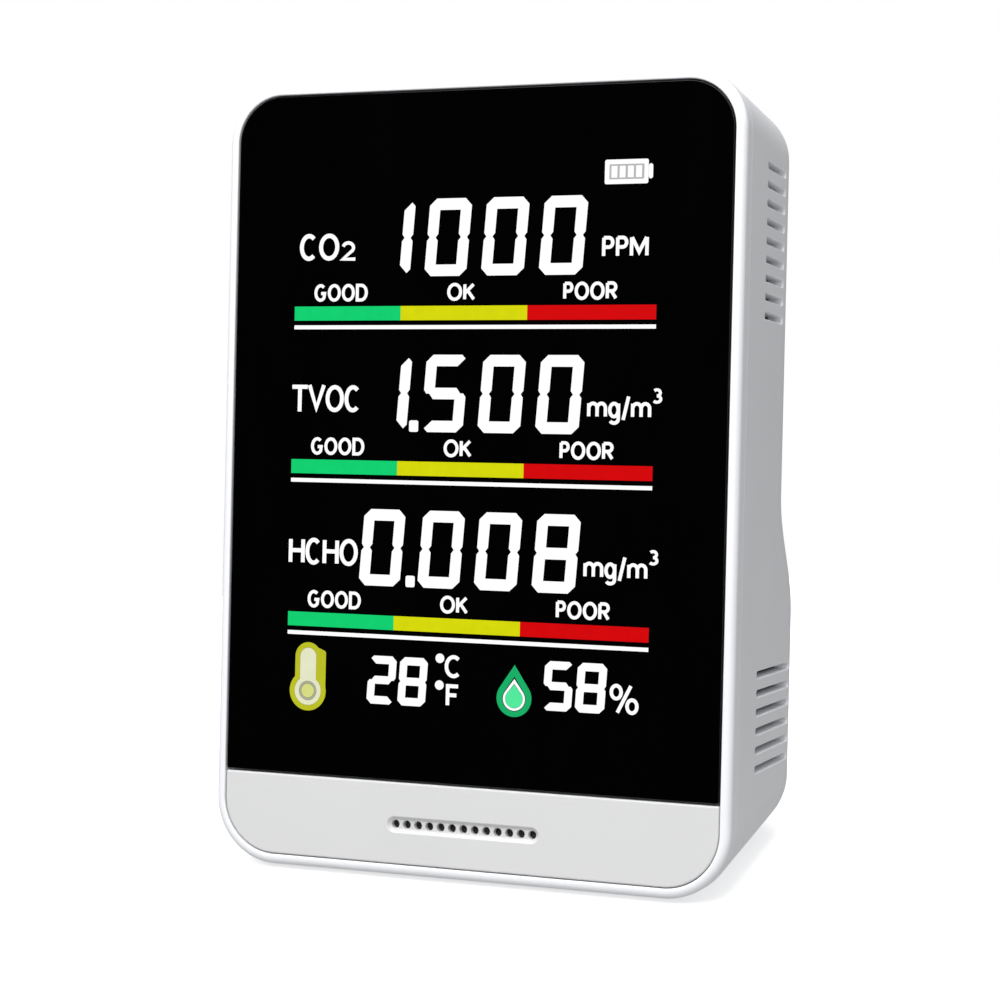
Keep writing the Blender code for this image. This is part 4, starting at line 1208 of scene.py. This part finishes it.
def build_floor():
    bm = bmesh.new()
    bmesh.ops.create_circle(bm, cap_ends=True, segments=96, radius=FLOOR_RADIUS)
    mesh = bpy.data.meshes.new("floor")
    bm.to_mesh(mesh)
    bm.free()
    floor = add("floor", mesh)
    material, tree, shader = shader_material("pale_floor", 0.8)
    vector = coordinates(tree)
    paper = noise(tree, vector, 2.0, 3.0)
    tree.links.new(ramp(tree, paper, (0.90, 0.90, 0.90), (0.93, 0.93, 0.93)), shader.inputs["Base Color"])
    shader.inputs["Specular IOR Level"].default_value = 0.0
    shader.inputs["Emission Color"].default_value = (1.0, 1.0, 1.0, 1.0)
    shader.inputs["Emission Strength"].default_value = 0.35
    mesh.materials.append(material)
    floor.visible_diffuse = False
    floor.visible_glossy = False


def build_world():
    """White behind the object. For light, a soft dome above a dark band and a dimmer glow from below."""
    world = bpy.data.worlds.new("studio")
    bpy.context.scene.world = world
    world.use_nodes = True
    tree = world.node_tree
    tree.nodes.clear()
    output = add_node(tree, "OutputWorld")
    choice = add_node(tree, "MixShader")
    path = add_node(tree, "LightPath")
    dome = add_node(tree, "Background", Strength=DOME)
    backdrop = add_node(tree, "Background", Color=(1.0, 1.0, 1.0, 1.0))
    source = add_node(tree, "TexCoord")
    split = add_node(tree, "SeparateXYZ")
    rise = add_node(tree, "ValToRGB")
    stops = rise.color_ramp.elements
    stops[0].color = (GLOW_BELOW, GLOW_BELOW, GLOW_BELOW, 1.0)
    stops[1].color = (1.0, 1.0, 1.0, 1.0)
    for position, value in ((0.33, GLOW_BELOW), (0.40, DARK_BAND), (0.655, DARK_BAND), (0.75, 0.9)):
        stops.new(position).color = (value, value, value, 1.0)
    tree.links.new(source.outputs["Generated"], split.inputs["Vector"])
    tree.links.new(spread(tree, split.outputs["Z"], 0.0, 1.0, -1.0, 1.0), rise.inputs["Fac"])
    tree.links.new(rise.outputs["Color"], dome.inputs["Color"])
    tree.links.new(path.outputs["Is Camera Ray"], choice.inputs["Fac"])
    tree.links.new(dome.outputs["Background"], choice.inputs[1])
    tree.links.new(backdrop.outputs["Background"], choice.inputs[2])
    tree.links.new(choice.outputs["Shader"], output.inputs["Surface"])


def direction(azimuth, elevation):
    """The way from the object towards a place around it, for angles in degrees."""
    turn = math.radians(azimuth)
    rise = math.radians(elevation)
    return Vector((math.sin(turn) * math.cos(rise), -math.cos(turn) * math.cos(rise), math.sin(rise)))


def area_light(name, azimuth, elevation, distance, size, power, tint=(1.0, 1.0, 1.0)):
    """A square soft light aimed at the middle of the object."""
    target = Vector((0.0, 0.0, HEIGHT / 2.0 * MM))
    away = direction(azimuth, elevation)
    light = bpy.data.lights.new(name, "AREA")
    light.shape = "SQUARE"
    light.size = size
    light.energy = power
    light.color = tint
    item = add(name, light)
    item.location = target + away * distance
    item.rotation_mode = "QUATERNION"
    item.rotation_quaternion = (-away).to_track_quat("-Z", "Y")
    item.visible_camera = False


def build_lights():
    area_light("key", -5.0, 46.0, 0.6, 0.45, 2.75)
    area_light("right_fill", 34.0, 14.0, 0.7, 0.4, 1.05, (0.96, 0.98, 1.0))
    area_light("left_fill", -70.0, 30.0, 0.7, 0.4, 0.5)
    area_light("top", 0.0, 85.0, 0.6, 0.5, 1.8)


def build_camera():
    roll = math.radians(VIEW_ROLL)
    ahead = -direction(VIEW_AZIMUTH, VIEW_ELEVATION)
    level = ahead.cross(Vector((0.0, 0.0, 1.0))).normalized()
    upright = level.cross(ahead)
    across = math.cos(roll) * level + math.sin(roll) * upright
    up = math.cos(roll) * upright - math.sin(roll) * level
    glass_middle = Vector((0.0, 0.0, (GLASS_BOTTOM + HEIGHT - FACE_INSET) / 2.0))
    eye = glass_middle + VIEW_RIGHT * across + VIEW_UP * up - VIEW_DISTANCE * ahead
    axes = Matrix((across, up, -ahead)).transposed().to_4x4()
    data = bpy.data.cameras.new("camera")
    data.lens = LENS
    data.sensor_width = 36.0
    data.clip_start = 0.01
    camera = add("camera", data)
    camera.matrix_world = CASE_FRAME @ Matrix.Translation(eye * MM) @ axes
    bpy.context.scene.camera = camera


build_front_frame()
build_window()
build_grille_strip()
build_back_cover()
build_feet()
build_screws()
build_button()
build_port()
build_readings()
build_scales()
build_labels()
build_climate()
build_icons()
build_inner_materials()
build_floor()
build_world()
build_lights()
build_camera()
bpy.context.scene.view_settings.view_transform = "Standard"

bpy.context.view_layer.update()
